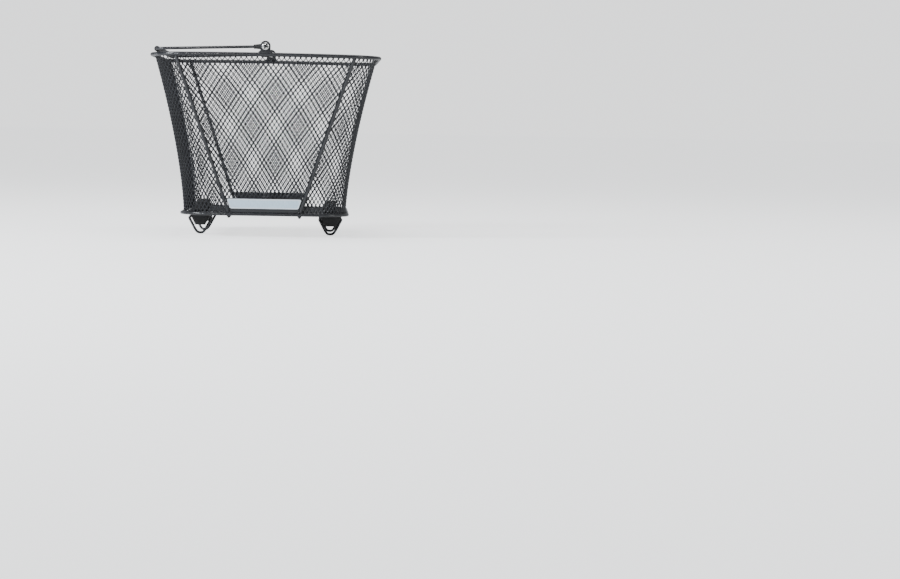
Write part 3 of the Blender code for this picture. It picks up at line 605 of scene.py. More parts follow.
class Finishes:
    """The object's finishes, each a slot's name with its material, and the floor's material."""

    def __init__(self, colours):
        self.colours = colours
        makers = (coat_texture_group, edge_wear_group, dust_group, plating_group, cells_group)
        self.groups = {made.name: made for made in (maker() for maker in makers)}
        self.coat = "powder_coat", self.coated(
            "black_powder_coat", colours.coat,
            roughness=0.30, peel=0.00004, dust=0.09, wear=0.35, shine=0.6,
        )
        self.mesh = "mesh_coat", self.coated(
            "black_mesh_coat", colours.mesh,
            roughness=0.34, peel=0.00003, dust=0.12, wear=0.2, shine=0.3,
        )
        self.plastic = "black_plastic", self.moulded(
            "black_plastic", colours.plastic, roughness=0.52, scale=1500.0, depth=0.00006, dust=0.10
        )
        self.grip = "grip_vinyl", self.moulded(
            "black_grip", colours.grip, roughness=0.38, scale=700.0, depth=0.00003, dust=0.06
        )
        self.zinc = "zinc_plate", self.plated()
        self.panel = "reflective_panel", self.reflective()
        self.floor = self.studio_floor()

    def start(self, name):
        """A material, its tree, its shader's inputs and its object coordinates."""
        material = bpy.data.materials.new(name)
        material.use_nodes = True
        tree = material.node_tree
        here = add_node(tree, "TexCoord").outputs["Object"]
        return material, tree, tree.nodes["Principled BSDF"].inputs, here

    def group(self, tree, name, here, *values):
        """The outputs of a shared group, its inputs in their order: the coordinates, then the values."""
        return add_node(tree, "Group", enumerate((here, *values)), node_tree=self.groups[name]).outputs

    def coated(self, name, colour, roughness, peel, dust, wear, shine):
        """Powder-coated steel: orange peel, a change of tone, rubbed edges and a little dust."""
        material, tree, shader, here = self.start(name)
        texture = self.group(tree, "coat_texture", here, 950.0, 0.25)
        rubbed = self.group(tree, "edge_wear", here, wear)["Mask"]
        settled = self.group(tree, "settled_dust", here, dust)["Mask"]
        tone = mix(tree, texture["Tone"], scaled(colour, 0.82), scaled(colour, 1.25))
        worn = mix(tree, rubbed, tone, scaled(self.colours.bare_steel))
        gloss = calculate(tree, "MULTIPLY_ADD", texture["Tone"], 0.07, roughness)
        connect(tree, shader, {
            "Base Color": mix(tree, settled, worn, scaled(self.colours.dust)),
            "Roughness": calculate(tree, "ADD", gloss, calculate(tree, "MULTIPLY", settled, 0.5)),
            "Metallic": rubbed,
            "Normal": bump(tree, texture["Height"], peel),
            "IOR": 1.45,
            "Coat Weight": shine,
            "Coat Roughness": 0.10,
        })
        return material

    def moulded(self, name, colour, roughness, scale, depth, dust):
        """Moulded plastic or vinyl: a fine eroded grain, slightly uneven gloss and a little dust."""
        material, tree, shader, here = self.start(name)
        texture = self.group(tree, "coat_texture", here, scale, 0.6)
        rubbed = self.group(tree, "edge_wear", here, 0.3)["Mask"]
        settled = self.group(tree, "settled_dust", here, dust)["Mask"]
        tone = mix(tree, texture["Tone"], scaled(colour, 0.85), scaled(colour, 1.3))
        scuffed = mix(tree, rubbed, tone, scaled(colour, 3.5))
        connect(tree, shader, {
            "Base Color": mix(tree, settled, scuffed, scaled(self.colours.dust)),
            "Roughness": calculate(tree, "MULTIPLY_ADD", texture["Tone"], -0.08, roughness + 0.04),
            "Normal": bump(tree, texture["Height"], depth),
        })
        return material

    def plated(self):
        """Bright zinc plate with fine marks and a faint cloud in its tone, and painted shade in its
        recesses: darkened to the wire coat's colour, rougher and not metallic there.
        """
        material, tree, shader, here = self.start("zinc_plate")
        marks = self.group(tree, "plating", here)
        zinc = self.colours.zinc
        tone = mix(tree, marks["Tone"], scaled(zinc, 0.86), scaled(zinc, 1.08))
        # Painted shade in the recesses, read from the attribute that holds edge wear on the other pieces.
        recess_shade = attribute(tree, "wear")
        gloss = calculate(tree, "MULTIPLY_ADD", marks["Height"], 0.14, 0.13)
        connect(tree, shader, {
            "Base Color": mix(tree, recess_shade, tone, scaled(self.colours.coat, 0.8)),
            "Roughness": calculate(tree, "ADD", gloss, calculate(tree, "MULTIPLY", recess_shade, 0.5)),
            "Metallic": calculate(tree, "SUBTRACT", 1.0, recess_shade),
            "Normal": bump(tree, marks["Height"], 0.00001),
        })
        return material

    def reflective(self):
        """Pale reflective sheet under clear plastic: small sealed cells, and a border without cells."""
        material, tree, shader, here = self.start("reflective_panel")
        cells = self.group(tree, "reflective_cells", here)
        border = attribute(tree, "border")
        pale, edge = self.colours.panel, scaled(self.colours.panel_border)
        field = mix(tree, cells["Tint"], scaled(pale, 0.96), scaled(pale, 1.04))
        walled = mix(tree, calculate(tree, "MULTIPLY", cells["Walls"], 0.35), field, edge)
        inside = calculate(tree, "SUBTRACT", 1.0, border)
        connect(tree, shader, {
            "Base Color": mix(tree, border, walled, edge),
            "Normal": bump(tree, calculate(tree, "MULTIPLY", cells["Walls"], inside), 0.00003),
            "Roughness": 0.38,
            "Coat Weight": 0.6,
            "Coat Roughness": 0.06,
        })
        return material

    def studio_floor(self):
        """Matt pale floor with the faintest mottling, brighter to the camera than to the basket."""
        material, tree, shader, here = self.start("studio_floor")
        pale = self.colours.floor
        connect(tree, shader, {
            "Base Color": mix(tree, noise(tree, here, 3.0, 3.0), scaled(pale, 0.985), scaled(pale)),
            "Emission Color": mix(tree, camera_ray(tree), (0.0, 0.0, 0.0, 1.0), SEEN_TINT),
            "Emission Strength": FLOOR_GLOW,
            "Roughness": 0.75,
        })
        return material


def camera_ray(tree):
    """1 for what the camera sees itself, 0 for light that falls on the basket."""
    return add_node(tree, "LightPath").outputs["Is Camera Ray"]


def scaled(colour, factor=1.0):
    """A colour property as RGBA, made lighter or darker."""
    return (*(min(1.0, channel * factor) for channel in colour), 1.0)


# ---------------- mesh panels


def strands(sizes, rows, columns, surface):
    """Strands of expanded mesh as closed bars, an array of (strand, row, ring, 3) points.

    Two strands belong to each column of cells. A strand goes from bond to bond: at row k it leans to
    one side by a quarter cell less half its width, and at the next row to the other. Every bar is
    turned by the same tilt, so a strand is in front at one bond and behind at the next, as in sheet
    that has been slit and drawn. surface(up, along) gives points for shares of the panel.
    """
    half_bond = sizes.bond_length / sizes.cell_height  # in half rows
    count = 2 * columns
    number = np.arange(count)[:, None]
    row = np.arange(rows + 1)[None, :]
    lean = np.where((row + number) % 2 == 0, -1.0, 1.0)
    up = np.repeat(row / rows, 2, axis=1) + np.tile([-half_bond / rows, half_bond / rows], rows + 1)
    up = np.clip(up, 0.0, 1.0)[:, 1:-1]
    lean = np.repeat(lean, 2, axis=1)[:, 1:-1]
    centre = (number / 2 + 0.25) / columns
    step = 1e-4
    along = surface(up, centre + step) - surface(up, centre - step)
    cell = np.linalg.norm(along, axis=-1) / (2 * step) / columns
    swing = 0.25 - BOND_SHARE * sizes.strand_width * math.cos(sizes.strand_tilt) / cell
    path = surface(up, centre + lean * swing / columns)
    along = unit(along)
    rise = unit(surface(np.minimum(up + step, 1.0), centre) - surface(np.maximum(up - step, 0.0), centre))
    outwards = np.cross(along, rise)
    front = -lean * sizes.strand_width / 2 * math.sin(sizes.strand_tilt)
    path = path + outwards * front[..., None]
    tangent = unit(np.gradient(path, axis=1))
    width = math.cos(sizes.strand_tilt) * along + math.sin(sizes.strand_tilt) * outwards
    width = unit(width - np.sum(width * tangent, axis=-1, keepdims=True) * tangent)
    depth = np.cross(width, tangent)
    half_w, half_t = sizes.strand_width / 2, sizes.strand_thickness / 2
    flat = STRAND_FLAT
    ring = np.array([(flat, -1), (-flat, -1), (-1, 0), (-flat, 1), (flat, 1), (1, 0)])
    across = ring[:, 0][None, None, :, None] * half_w * width[:, :, None]
    through = ring[:, 1][None, None, :, None] * half_t * depth[:, :, None]
    return path[:, :, None] + across + through


def wall_strands(form, sizes):
    """All strands of the wall, counter-clockwise from the middle of the +X side."""
    half_way = form.plan(0.5)
    perimeter = 4 * (half_way[0] + half_way[1] - (2 - QUARTER) * half_way[2])
    columns = 4 * round(perimeter / sizes.cell_width / 4)
    rise = float(np.linalg.norm(form.wall(1.0, 0.25) - form.wall(0.0, 0.25)))
    rows = round(2 * rise / sizes.cell_height)

    def surface(up, along):
        shifted = form.wall(up, along + 1e-3) - form.wall(up, along - 1e-3)
        return form.wall(up, along) - SHEET / 2 * unit(np.cross(shifted, Z_AXIS))

    return strands(sizes, rows, columns, surface)


def floor_strands(form, sizes):
    """Strands of the floor in groups of equal length, each cut where it meets the rounded outline."""
    edge = SHEET + GAP + sizes.strand_width / 2
    half_x, half_y, radius = (size - edge for size in form.foot)
    columns = round(2 * half_x / sizes.cell_width)
    rows = round(4 * half_y / sizes.cell_height)

    def surface(up, along):
        x = (2 * np.asarray(along, float) - 1) * half_x
        y = (2 * np.asarray(up, float) - 1) * half_y
        return np.stack(np.broadcast_arrays(x, y, form.floor_z), axis=-1)

    bars = strands(sizes, rows, columns, surface)
    y = bars[..., 1].mean(axis=2)
    past = np.maximum(0.0, np.abs(bars[..., 0].mean(axis=(1, 2))) - (half_x - radius))
    reach = half_y - radius + np.sqrt(np.maximum(radius**2 - past**2, 0.0))
    count = np.sum(np.abs(y) <= reach[:, None], axis=1)
    groups = [bars[count == bars.shape[1]]]
    for size in np.unique(count[count < bars.shape[1]]):
        same = count == size
        first = (bars.shape[1] - size) // 2 - 1
        kept = slice(first, first + size + 2)
        group, level, limit = bars[same, kept].copy(), y[same, kept], reach[same]
        low = (level[:, 1] + limit) / (level[:, 1] - level[:, 0])
        high = (limit - level[:, -2]) / (level[:, -1] - level[:, -2])
        group[:, 0] = group[:, 1] + low[:, None, None] * (group[:, 0] - group[:, 1])
        group[:, -1] = group[:, -2] + high[:, None, None] * (group[:, -1] - group[:, -2])
        groups.append(group)
    return groups


def make_wall(form, sizes, finishes):
    """The mesh wall in four pieces, one for each side."""
    bars = wall_strands(form, sizes)
    start = np.arange(len(bars)) / len(bars)
    for name, centre in (("front", 0.0), ("left", 0.25), ("rear", 0.5), ("right", 0.75)):
        away = np.abs((start - centre + 0.5) % 1.0 - 0.5)
        chosen = bars[away <= 0.125] if centre in (0.0, 0.5) else bars[away < 0.125]
        Shape().add(chosen).finish(f"mesh_wall_{name}", finishes.mesh, "mesh_wall", smooth=STRAND_SMOOTH)


def make_floor(form, sizes, finishes):
    shape = Shape()
    for group in floor_strands(form, sizes):
        shape.add(group)
    shape.finish("mesh_floor_strands", finishes.mesh, "mesh_floor", smooth=STRAND_SMOOTH)


# ---------------- wires


def make_rings(form, sizes, finishes):
    """The rim and base wires, each drawn in a little at the butt weld that closes it."""
    around = np.linspace(0, 1, RING_STEPS, endpoint=False)
    joint = np.exp(-(((around - 0.5) * RING_STEPS) ** 2) / 3.0)
    for name, plan, wire in (("rim", form.rim, sizes.rim_wire), ("base", form.base, sizes.base_wire)):
        x, y = rounded_rectangle(*plan, around)
        level = form.rim_height(x) if name == "rim" else np.full_like(x, form.floor_z)
        wear = rim_wear(form, x, y) if name == "rim" else WIRE_WEAR
        path = np.stack([x, y, level], axis=-1)
        grid = tube(path, wire / 2 * (1 - 0.03 * joint), Z_AXIS, 20, closed=True)
        shape = Shape().add(grid, wrap_rows=True, wear=wear)
        shape.finish(f"{name}_wire", finishes.coat, f"{name}_rod")


def rim_wear(form, x, y):
    """Wear where the folded handle's sleeve lies on the rim, and a trace along the rest of it."""
    spot = np.exp(-(((x + form.handle_reach) / 0.006) ** 2)) * (np.abs(y) > 0.1)
    return (0.12 + 0.88 * spot)[:, None]


def strut_path(form, sizes, sign_x, sign_y):
    """A strut's centre line, lying on the mesh from the base wire up to the rim."""
    lean = math.atan(form.strut_slope)
    end_rise = sizes.strut_wire / 2 * math.sin(lean)
    foot = sizes.base_wire / 2 + end_rise
    top = form.depth - sizes.rim_wire / 2 - end_rise + STRUT_TUCK
    height = np.linspace(foot, top, 48)
    points, outwards = form.side_point(sign_x * form.strut_x(height), height)
    return (points + outwards * (GAP + sizes.strut_wire / 2)) * (1, sign_y, 1)


def make_struts(form, sizes, finishes):
    for side, sign_y in SIDES.items():
        for end, sign_x in ENDS.items():
            path = strut_path(form, sizes, sign_x, sign_y)
            grid = tube(path, sizes.strut_wire / 2, Y_AXIS, 16, ease=WIRE_EASE)
            shape = Shape().add(grid, wear=WIRE_WEAR)
            shape.finish(f"side_strut_{side}_{end}", finishes.coat, f"strut_{side}_{end}")


def make_runners(_form, sizes, finishes):
    for end in ENDS:
        low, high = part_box(f"floor_runner_{end}")
        centre = (low + high) / 2
        y = np.linspace(low.y, high.y, 24)
        path = np.stack([np.full_like(y, centre.x), y, np.full_like(y, centre.z)], axis=-1)
        grid = tube(path, sizes.runner_wire / 2, Z_AXIS, 16, ease=WIRE_EASE)
        shape = Shape().add(grid, wear=WIRE_WEAR)
        shape.finish(f"runner_{end}", finishes.coat, f"floor_runner_{end}")


def bead(centre, along, outwards, size, ripple, phase):
    """A weld bead: an ellipsoid whose girth swells and narrows along its length."""
    along, outwards = unit(np.asarray(along, float)), np.asarray(outwards, float)
    outwards = unit(outwards - np.dot(outwards, along) * along)
    third = np.cross(along, outwards)
    turn = np.linspace(BEAD_TIP, math.pi - BEAD_TIP, 18)[:, None, None]
    around = full_turn(12)[:, None]
    girth = np.sin(turn) * (1 + BEAD_RIPPLE * np.sin(ripple * turn * 2 + phase))
    ring = np.cos(around) * size[1] * outwards + np.sin(around) * size[2] * third
    return np.asarray(centre) + -np.cos(turn) * size[0] * along + girth * ring


def make_welds(form, sizes, finishes):
    """Weld beads: strut ends, runner ends and lug feet in one piece, mesh to rim in another."""
    shape = Shape()
    for number, (sign_x, sign_y) in enumerate((x, y) for x in (1, -1) for y in (1, -1)):
        path = strut_path(form, sizes, sign_x, sign_y)
        for end, inner, lift in ((path[-1], path[-2], -STRUT_TUCK), (path[0], path[1], BEAD_SINK)):
            direction = unit(end - inner)
            for across in (1, -1):
                side = unit(np.cross(direction, Y_AXIS)) * across
                centre = end + side * (sizes.strut_wire * BEAD_SIDE) + direction * lift
                shape.add(bead(centre, Y_AXIS * sign_y, side, STRUT_BEAD, 4, number + across))
        low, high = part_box(f"floor_runner_{'front' if sign_x > 0 else 'rear'}")
        level = (low.z + high.z) / 2 + RUNNER_BEAD_RISE
        centre = ((low.x + high.x) / 2, sign_y * (high.y - BEAD_SINK), level)
        shape.add(bead(centre, X_AXIS, Z_AXIS, RUNNER_BEAD, 4, number))
    level = form.rim_mid_z + sizes.rim_wire / 2 - BEAD_SINK
    for sign_y in (1, -1):
        for face in (1, -1):
            centre = (0, sign_y * form.lug_y + face * LUG_BEAD_OUT, level)
            shape.add(bead(centre, X_AXIS, Z_AXIS, LUG_BEAD, 9, face))
    shape.finish("weld_beads", finishes.coat)
    dabs = Shape()
    around = (np.arange(DABS) + 0.5) / DABS
    x, y = rounded_rectangle(*(size - sizes.rim_wire / 2 - 0.0002 for size in form.rim), around)
    points = np.stack([x, y, form.rim_height(x) + 0.0006], axis=-1)
    for number, centre in enumerate(points):
        inwards = -unit(centre * (1, 1, 0))
        dabs.add(bead(centre, np.cross(Z_AXIS, inwards), inwards, DAB_BEAD, 3, number))
    dabs.finish("mesh_weld_dabs", finishes.coat)


# ---------------- side panels


def side_frame(form):
    """Origin, right and up of the right-hand side plate, lying on the wall's foot."""
    low, _ = form.side_point(np.array(0.0), np.array(0.0))
    high, _ = form.side_point(np.array(0.0), np.array(form.depth / 8))
    lean = math.atan2(high[1] - low[1], high[2] - low[2])
    up = np.array([0.0, -math.sin(lean), math.cos(lean)])
    return np.array([0.0, -low[1], form.floor_z]), X_AXIS, up, lean


def between_struts(form, sizes, foot, top, border, corner):
    """Outline between the struts, wider at its top, with rounded corners that are smaller there."""
    strut_half = sizes.strut_wire / 2 / math.cos(math.atan(form.strut_slope))
    edge = strut_half + GAP + border
    low, high = form.strut_x(foot) - edge, form.strut_x(top) - edge
    slope = math.atan2(top - foot, high - low)
    centre = (low - corner * math.tan(slope / 2), foot + corner)
    lower = arc(centre, corner, -90, math.degrees(slope) - 90, 10)
    small = min(corner, PANEL_UPPER_CORNER)
    back = math.tan((math.pi - slope) / 2)
    upper_centre = (high - small * back, top - small)
    upper = arc(upper_centre, small, math.degrees(slope) - 90, 90, 10)
    half = np.concatenate([lower, upper])
    return np.concatenate([half, half[::-1] * (-1, 1)])


def make_side_panels(form, sizes, finishes):
    """Each side's plate, and the reflective panel on it with its raised border."""
    origin, right, up, lean = side_frame(form)
    foot = sizes.base_wire / 2 + GAP
    outline = between_struts(form, sizes, foot, PLATE_TOP, 0.0, PLATE_CORNER)
    plate_out = GAP / math.cos(lean) + PLATE_SHEET / 2
    rows = rounded_rows(PLATE_SHEET, PLATE_EDGE)
    sheet = plate(outline, rows, origin + plate_out * np.cross(right, up), right, up)
    plate_wear = edge_wear(rows, 0.5)

    top = PLATE_TOP - PANEL_BELOW
    panel = between_struts(form, sizes, PANEL_FOOT, top, PANEL_BORDER, PANEL_CORNER)
    panel_out = plate_out + PLATE_SHEET / 2 + GAP
    upper_edge = [(by, PANEL_SHEET / 2 + rise) for by, rise in rounded_rows(PANEL_SHEET, PANEL_EDGE)[5:]]
    rows_out = [(0.00025, 0.0), (0.0, 0.00025), *upper_edge, (0.00105, PANEL_SHEET)]
    sunk = ((0.0012, 0.00008), (0.0014, 0.00022), (0.0017, 0.0002))  # inset and depth, inside the border
    rows_in = [(by, PANEL_SHEET - depth) for by, depth in sunk]
    face = plate(panel, rows_out + rows_in, origin + panel_out * np.cross(right, up), right, up)
    border = np.array([1.0] * len(rows_out) + [0.6, 0.0, 0.0])
    for side, sign in SIDES.items():
        turn = (-sign, -sign, 1)
        sheets = Shape().add(sheet * turn, wear=plate_wear)
        sheets.finish(f"foot_plate_{side}", finishes.coat, f"side_plate_{side}")
        piece = Shape().add(face * turn).finish(
            f"reflective_panel_{side}", finishes.panel, f"reflector_{side}"
        )
        values = np.broadcast_to(border[:, None], face.shape[:2]).astype(np.float32).ravel()
        piece.data.attributes.new("border", "FLOAT", "POINT").data.foreach_set("value", values)


# ---------------- handle


def make_lugs(form, sizes, finishes):
    """Two lugs on the rim: a round head over a waist that flares into the wire, with rounded edges."""
    foot = form.rim_mid_z + sizes.rim_wire / 4
    seat = form.rim_mid_z + sizes.rim_wire / 2 + GAP + LUG_SEAT_RISE
    fillet = LUG_FOOT_FILLET
    waist = arc((LUG_HALF + fillet, seat + fillet), fillet, 270, 180, 10)
    right = np.concatenate([[(LUG_HALF + fillet, foot)], waist])
    head = arc((0.0, form.pivot_z + LUG_HEAD_RISE), LUG_HALF, 0, 180, 40)
    outline = np.concatenate([right, head, right[::-1] * (-1, 1)])
    rows = rounded_rows(LUG_SHEET, LUG_EDGE)
    wear = edge_wear(rows, 0.6)
    for side, sign in SIDES.items():
        grid = plate(outline, rows, (0, sign * form.lug_y, 0), X_AXIS, Z_AXIS)
        Shape().add(grid, wear=wear).finish(f"handle_lug_{side}", finishes.coat, f"pivot_lug_{side}")


def cross_recess(x, y):
    """Distance to the outline of the screws' cross recess, below zero inside it."""
    one = np.maximum(np.abs(x) - CROSS_LENGTH / 2, np.abs(y) - CROSS_WIDTH / 2)
    other = np.maximum(np.abs(y) - CROSS_LENGTH / 2, np.abs(x) - CROSS_WIDTH / 2)
    return np.minimum(one, other)


def hexagon_socket(x, y):
    """Distance to the outline of the bolts' hexagon socket, below zero inside it."""
    turns = np.radians([0, 60, 120])
    reach = np.abs(x[..., None] * np.cos(turns) + y[..., None] * np.sin(turns))
    return reach.max(axis=-1) - SOCKET_FLATS / 2


def driven_head(rows, heights, distance, depth, centre, axis, across, steps):
    """A turned head whose top is sunk by depth wherever distance(x, y) is below zero, with steep walls.

    Each point is at radius rows[i], height heights[i] less depth * smooth step of the distance.
    """
    turn = full_turn(steps)
    radius, height = np.asarray(rows)[:, None], np.asarray(heights)[:, None]
    x, y = radius * np.cos(turn), radius * np.sin(turn)
    inside = np.clip(-distance(x, y) / RECESS_SLOPE, 0.0, 1.0)
    height = height - depth * inside * inside * (3 - 2 * inside)
    return about_axis(radius, height, turn, centre, axis, across)


def thread(radius, start, end, pitch, centre, axis, across, steps=48):
    """A threaded shank: radius less a ridge that follows height over pitch minus the turn."""
    turn = full_turn(steps)
    height = np.linspace(start, end, max(8, int(abs(end - start) / pitch * 8)))[:, None]
    wave = 0.5 - 0.5 * np.cos(FULL_TURN * (height / pitch) - turn)
    fade = np.clip(np.abs(height - end) / pitch, 0.0, 1.0)
    girth = radius - THREAD_DEPTH * wave - THREAD_POINT * (1 - fade)
    return about_axis(girth, height, turn, centre, axis, across)


def make_pivot_screws(form, _sizes, finishes):
    """Pivot screws with a domed head and a cross recess, threaded at their inner ends."""
    grip = LUG_SHEET + FITTING_THICKNESS + PIVOT_WASHER + PIVOT_NUT + 4 * GAP
    for side, sign in SIDES.items():
        axis = np.array([0.0, sign, 0.0])
        across = np.array([math.cos(RECESS_TURN), 0.0, -math.sin(RECESS_TURN)])
        centre = (0.0, sign * (form.lug_y + LUG_SHEET / 2 + GAP), form.pivot_z)
        radius = np.concatenate([np.linspace(0.00003, 0.0040, 44), np.linspace(0.0042, SCREW_HEAD, 12)])
        share = radius / SCREW_HEAD
        dome = SCREW_EDGE + (SCREW_RISE - SCREW_EDGE) * np.sqrt(np.maximum(0.0, 1 - share**2.6))
        top = driven_head(radius, dome, cross_recess, CROSS_DEPTH, centre, axis, across, 96)
        rim = [
            (SCREW_HEAD, 0.0002), (SCREW_HEAD - 0.0002, 0.0),
            (SCREW_SHANK, 0.0), (SCREW_SHANK, -grip + 0.003),
        ]
        lower = turned(rim, centre, axis, across, 96)
        # Painted shade in the cross recess: full where the head sinks 1.2 mm below its dome, none on the
        # rim and shank.
        sunk = dome[:, None] - (top - np.asarray(centre)) @ axis
        recess_shade = np.concatenate([np.clip(sunk / 0.0012, 0, 1), np.zeros((len(rim), 96))])
        shape = Shape().add(np.concatenate([top, lower])[::-1], wear=recess_shade[::-1])
        end = thread(SCREW_SHANK, -grip + 0.0031, -grip - 0.0008, 0.0007, centre, axis, across)
        shape.add(end[::-1])
        shape.finish(f"cross_screw_{side}", finishes.zinc, f"pivot_screw_{side}")


def make_nut(name, node, axis, flats, bore, finishes):
    """A hexagon nut in its node's box: its girth is the hexagon's, cut back by a cone at both faces.

    The bore is a radius.
    """
    low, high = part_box(node)
    centre, height = (low + high) / 2, abs(np.dot(high - low, axis))
    turn = full_turn(96)
    within = (turn + math.pi / 6) % (math.pi / 3) - math.pi / 6
    level = np.array([-0.5, -0.47, -0.36, 0.36, 0.47, 0.5, 0.5, 0.42, -0.42, -0.5])[:, None] * height
    cone = flats * (0.51 + np.array([-0.06, 0.0, 0.2, 0.2, 0.0, -0.06])[:, None])
    outer = np.minimum(flats / 2 / np.cos(within), cone)
    inner = bore + np.array([0.0003, 0.0, 0.0, 0.0003])[:, None] + 0 * turn
    across = unit(np.cross(axis, (1.0, 0.2, 0.3)))
    grid = about_axis(np.concatenate([outer, inner]), level, turn, centre, axis, across)
    Shape().add(grid, wrap_rows=True).finish(name, finishes.zinc, node)


def make_pivot_fasteners(_form, _sizes, finishes):
    """The nuts and washers on the inner ends of the pivot screws."""
    for side, sign in SIDES.items():
        make_nut(f"hexagon_nut_{side}", f"pivot_nut_{side}", (0, sign, 0), 0.0070, 0.0021, finishes)
        low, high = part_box(f"pivot_washer_{side}")
        half, outer, edge = (high.y - low.y) / 2, (high.x - low.x) / 2, 0.00018
        profile = [
            (outer - edge, -half), (outer, -half + edge), (outer, half - edge), (outer - edge, half),
            (0.0024, half), (0.0023, half - edge), (0.0023, -half + edge), (0.0024, -half),
        ]
        grid = turned(profile, (low + high) / 2, Y_AXIS, X_AXIS)
        shape = Shape().add(grid, wrap_rows=True)
        shape.finish(f"flat_washer_{side}", finishes.zinc, f"pivot_washer_{side}")


def folded(form, points):
    """Points about the pivot, with the handle along -X, brought down to where it rests on the rim."""
    turn = form.handle_rest
    points = np.asarray(points, float)
    x = points[..., 0] * math.cos(turn) - points[..., 2] * math.sin(turn)
    z = points[..., 0] * math.sin(turn) + points[..., 2] * math.cos(turn)
    return np.stack([x, points[..., 1], z + form.pivot_z], axis=-1)


def make_fittings(form, _sizes, finishes):
    """Handle end fittings: a ring on the screw, and a stem that tapers to a beaded mouth round the wire.

    The stem's section is |y/a|^n + |z/b|^n = 1, squarer at its root and round at its mouth.
    """
    half = FITTING_THICKNESS / 2
    edge = FITTING_EDGE
    for side, sign in SIDES.items():
        centre = np.array([0.0, sign * form.fitting_y, 0.0])
        profile = [
            (0.0024, -half + 0.0003), (0.0028, -half), (FITTING_RADIUS - edge, -half),
            (FITTING_RADIUS - edge * 0.3, -half + edge * 0.3), (FITTING_RADIUS, -half + edge),
            (FITTING_RADIUS, half - edge), (FITTING_RADIUS - edge * 0.3, half - edge * 0.3),
            (FITTING_RADIUS - edge, half), (0.0028, half), (0.0024, half - 0.0003),
        ]
        ring = turned(profile, centre, Y_AXIS, X_AXIS, 64)
        share = np.linspace(0, 1, 30)[:, None]
        height = STEM_ROOT + (STEM_MOUTH - STEM_ROOT) * share
        width = np.minimum(height, half - 0.0001)
        lip = np.exp(-(((share - 0.965) / 0.03) ** 2)) * 0.00035
        close = np.clip((share - 0.985) / 0.015, 0, 1) * 0.0005
        height, width = height + lip - close, width + lip - close
        power = 2.0 / (3.2 - 1.2 * share)
        turn = np.linspace(0, FULL_TURN, 40, endpoint=False)[None, :]
        y = width * np.sign(np.cos(turn)) * np.abs(np.cos(turn)) ** power
        z = height * np.sign(np.sin(turn)) * np.abs(np.sin(turn)) ** power
        x = -(0.001 + (STEM_LENGTH - 0.001) * share) + 0 * turn
        stem = np.stack([x, y, z], axis=-1)[:, ::-1] + centre
        shape = Shape()
        shape.add(folded(form, ring), wrap_rows=True, wear=0.25)
        shape.add(folded(form, stem), wear=0.2)
        shape.finish(f"handle_fitting_{side}", finishes.plastic, f"handle_eyelet_{side}", body="handle")


def make_bail(form, sizes, finishes):
    """The handle's wire: arm, bend, crossbar, bend and arm."""
    start = -(STEM_LENGTH - SOCKET_DEPTH + GAP)
    reach, bend = form.handle_reach, HANDLE_BEND
    arm_x = np.linspace(start, -(reach - bend), 40)[:-1]
    arm = np.stack([arm_x, np.full_like(arm_x, form.fitting_y)], axis=-1)
    corner = arc((-(reach - bend), form.fitting_y - bend), bend, 90, 180, 16)
    bar_y = np.linspace(form.fitting_y - bend, 0, 30)[1:]
    half = np.concatenate([arm, corner, np.stack([np.full_like(bar_y, -reach), bar_y], axis=-1)])
    both = np.concatenate([half, half[-2::-1] * (1, -1)])
    path = folded(form, np.concatenate([both, np.zeros((len(both), 1))], axis=-1))
    upright = (math.sin(form.handle_rest), 0.0, math.cos(form.handle_rest))
    shape = Shape().add(tube(path, sizes.handle_wire / 2, upright, 16, ease=0.0003), wear=0.06)
    shape.finish("handle_wire", finishes.coat, "handle_bail", body="handle")


def make_grip(form, sizes, finishes):
    """The soft sleeve on the crossbar, a little barrelled, with rolled ends."""
    low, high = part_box("grip_sleeve")
    half, outer = (high.y - low.y) / 2, sizes.grip_diameter / 2
    inner = sizes.handle_wire / 2 + GAP
    y = np.linspace(-1, 1, 61)
    girth = outer * (1 - GRIP_BARREL * np.clip((np.abs(y) - 0.5) / 0.5, 0, 1) ** 2) - 0.00002
    girth = girth + GRIP_LIP * np.exp(-(((np.abs(y) - 0.985) / 0.006) ** 2))
    roll = GRIP_ROLL
    turn = np.linspace(0, QUARTER, END_ROWS)
    end = [(girth[-1] - roll * (1 - math.cos(t)), half - roll + roll * math.sin(t)) for t in turn]
    start = [(radius, -height) for radius, height in reversed(end)]
    body = [(radius, place_y * (half - roll)) for radius, place_y in zip(girth[1:-1], y[1:-1])]
    profile = [(inner, -half + 0.0004), *start, *body, *end, (inner, half - 0.0004)]
    grid = turned(profile, (-form.handle_reach, 0, 0), Y_AXIS, X_AXIS, 40)
    shape = Shape().add(folded(form, grid), wrap_rows=True)
    shape.finish("handle_grip", finishes.grip, "grip_sleeve", body="handle")


# ---------------- rack hooks


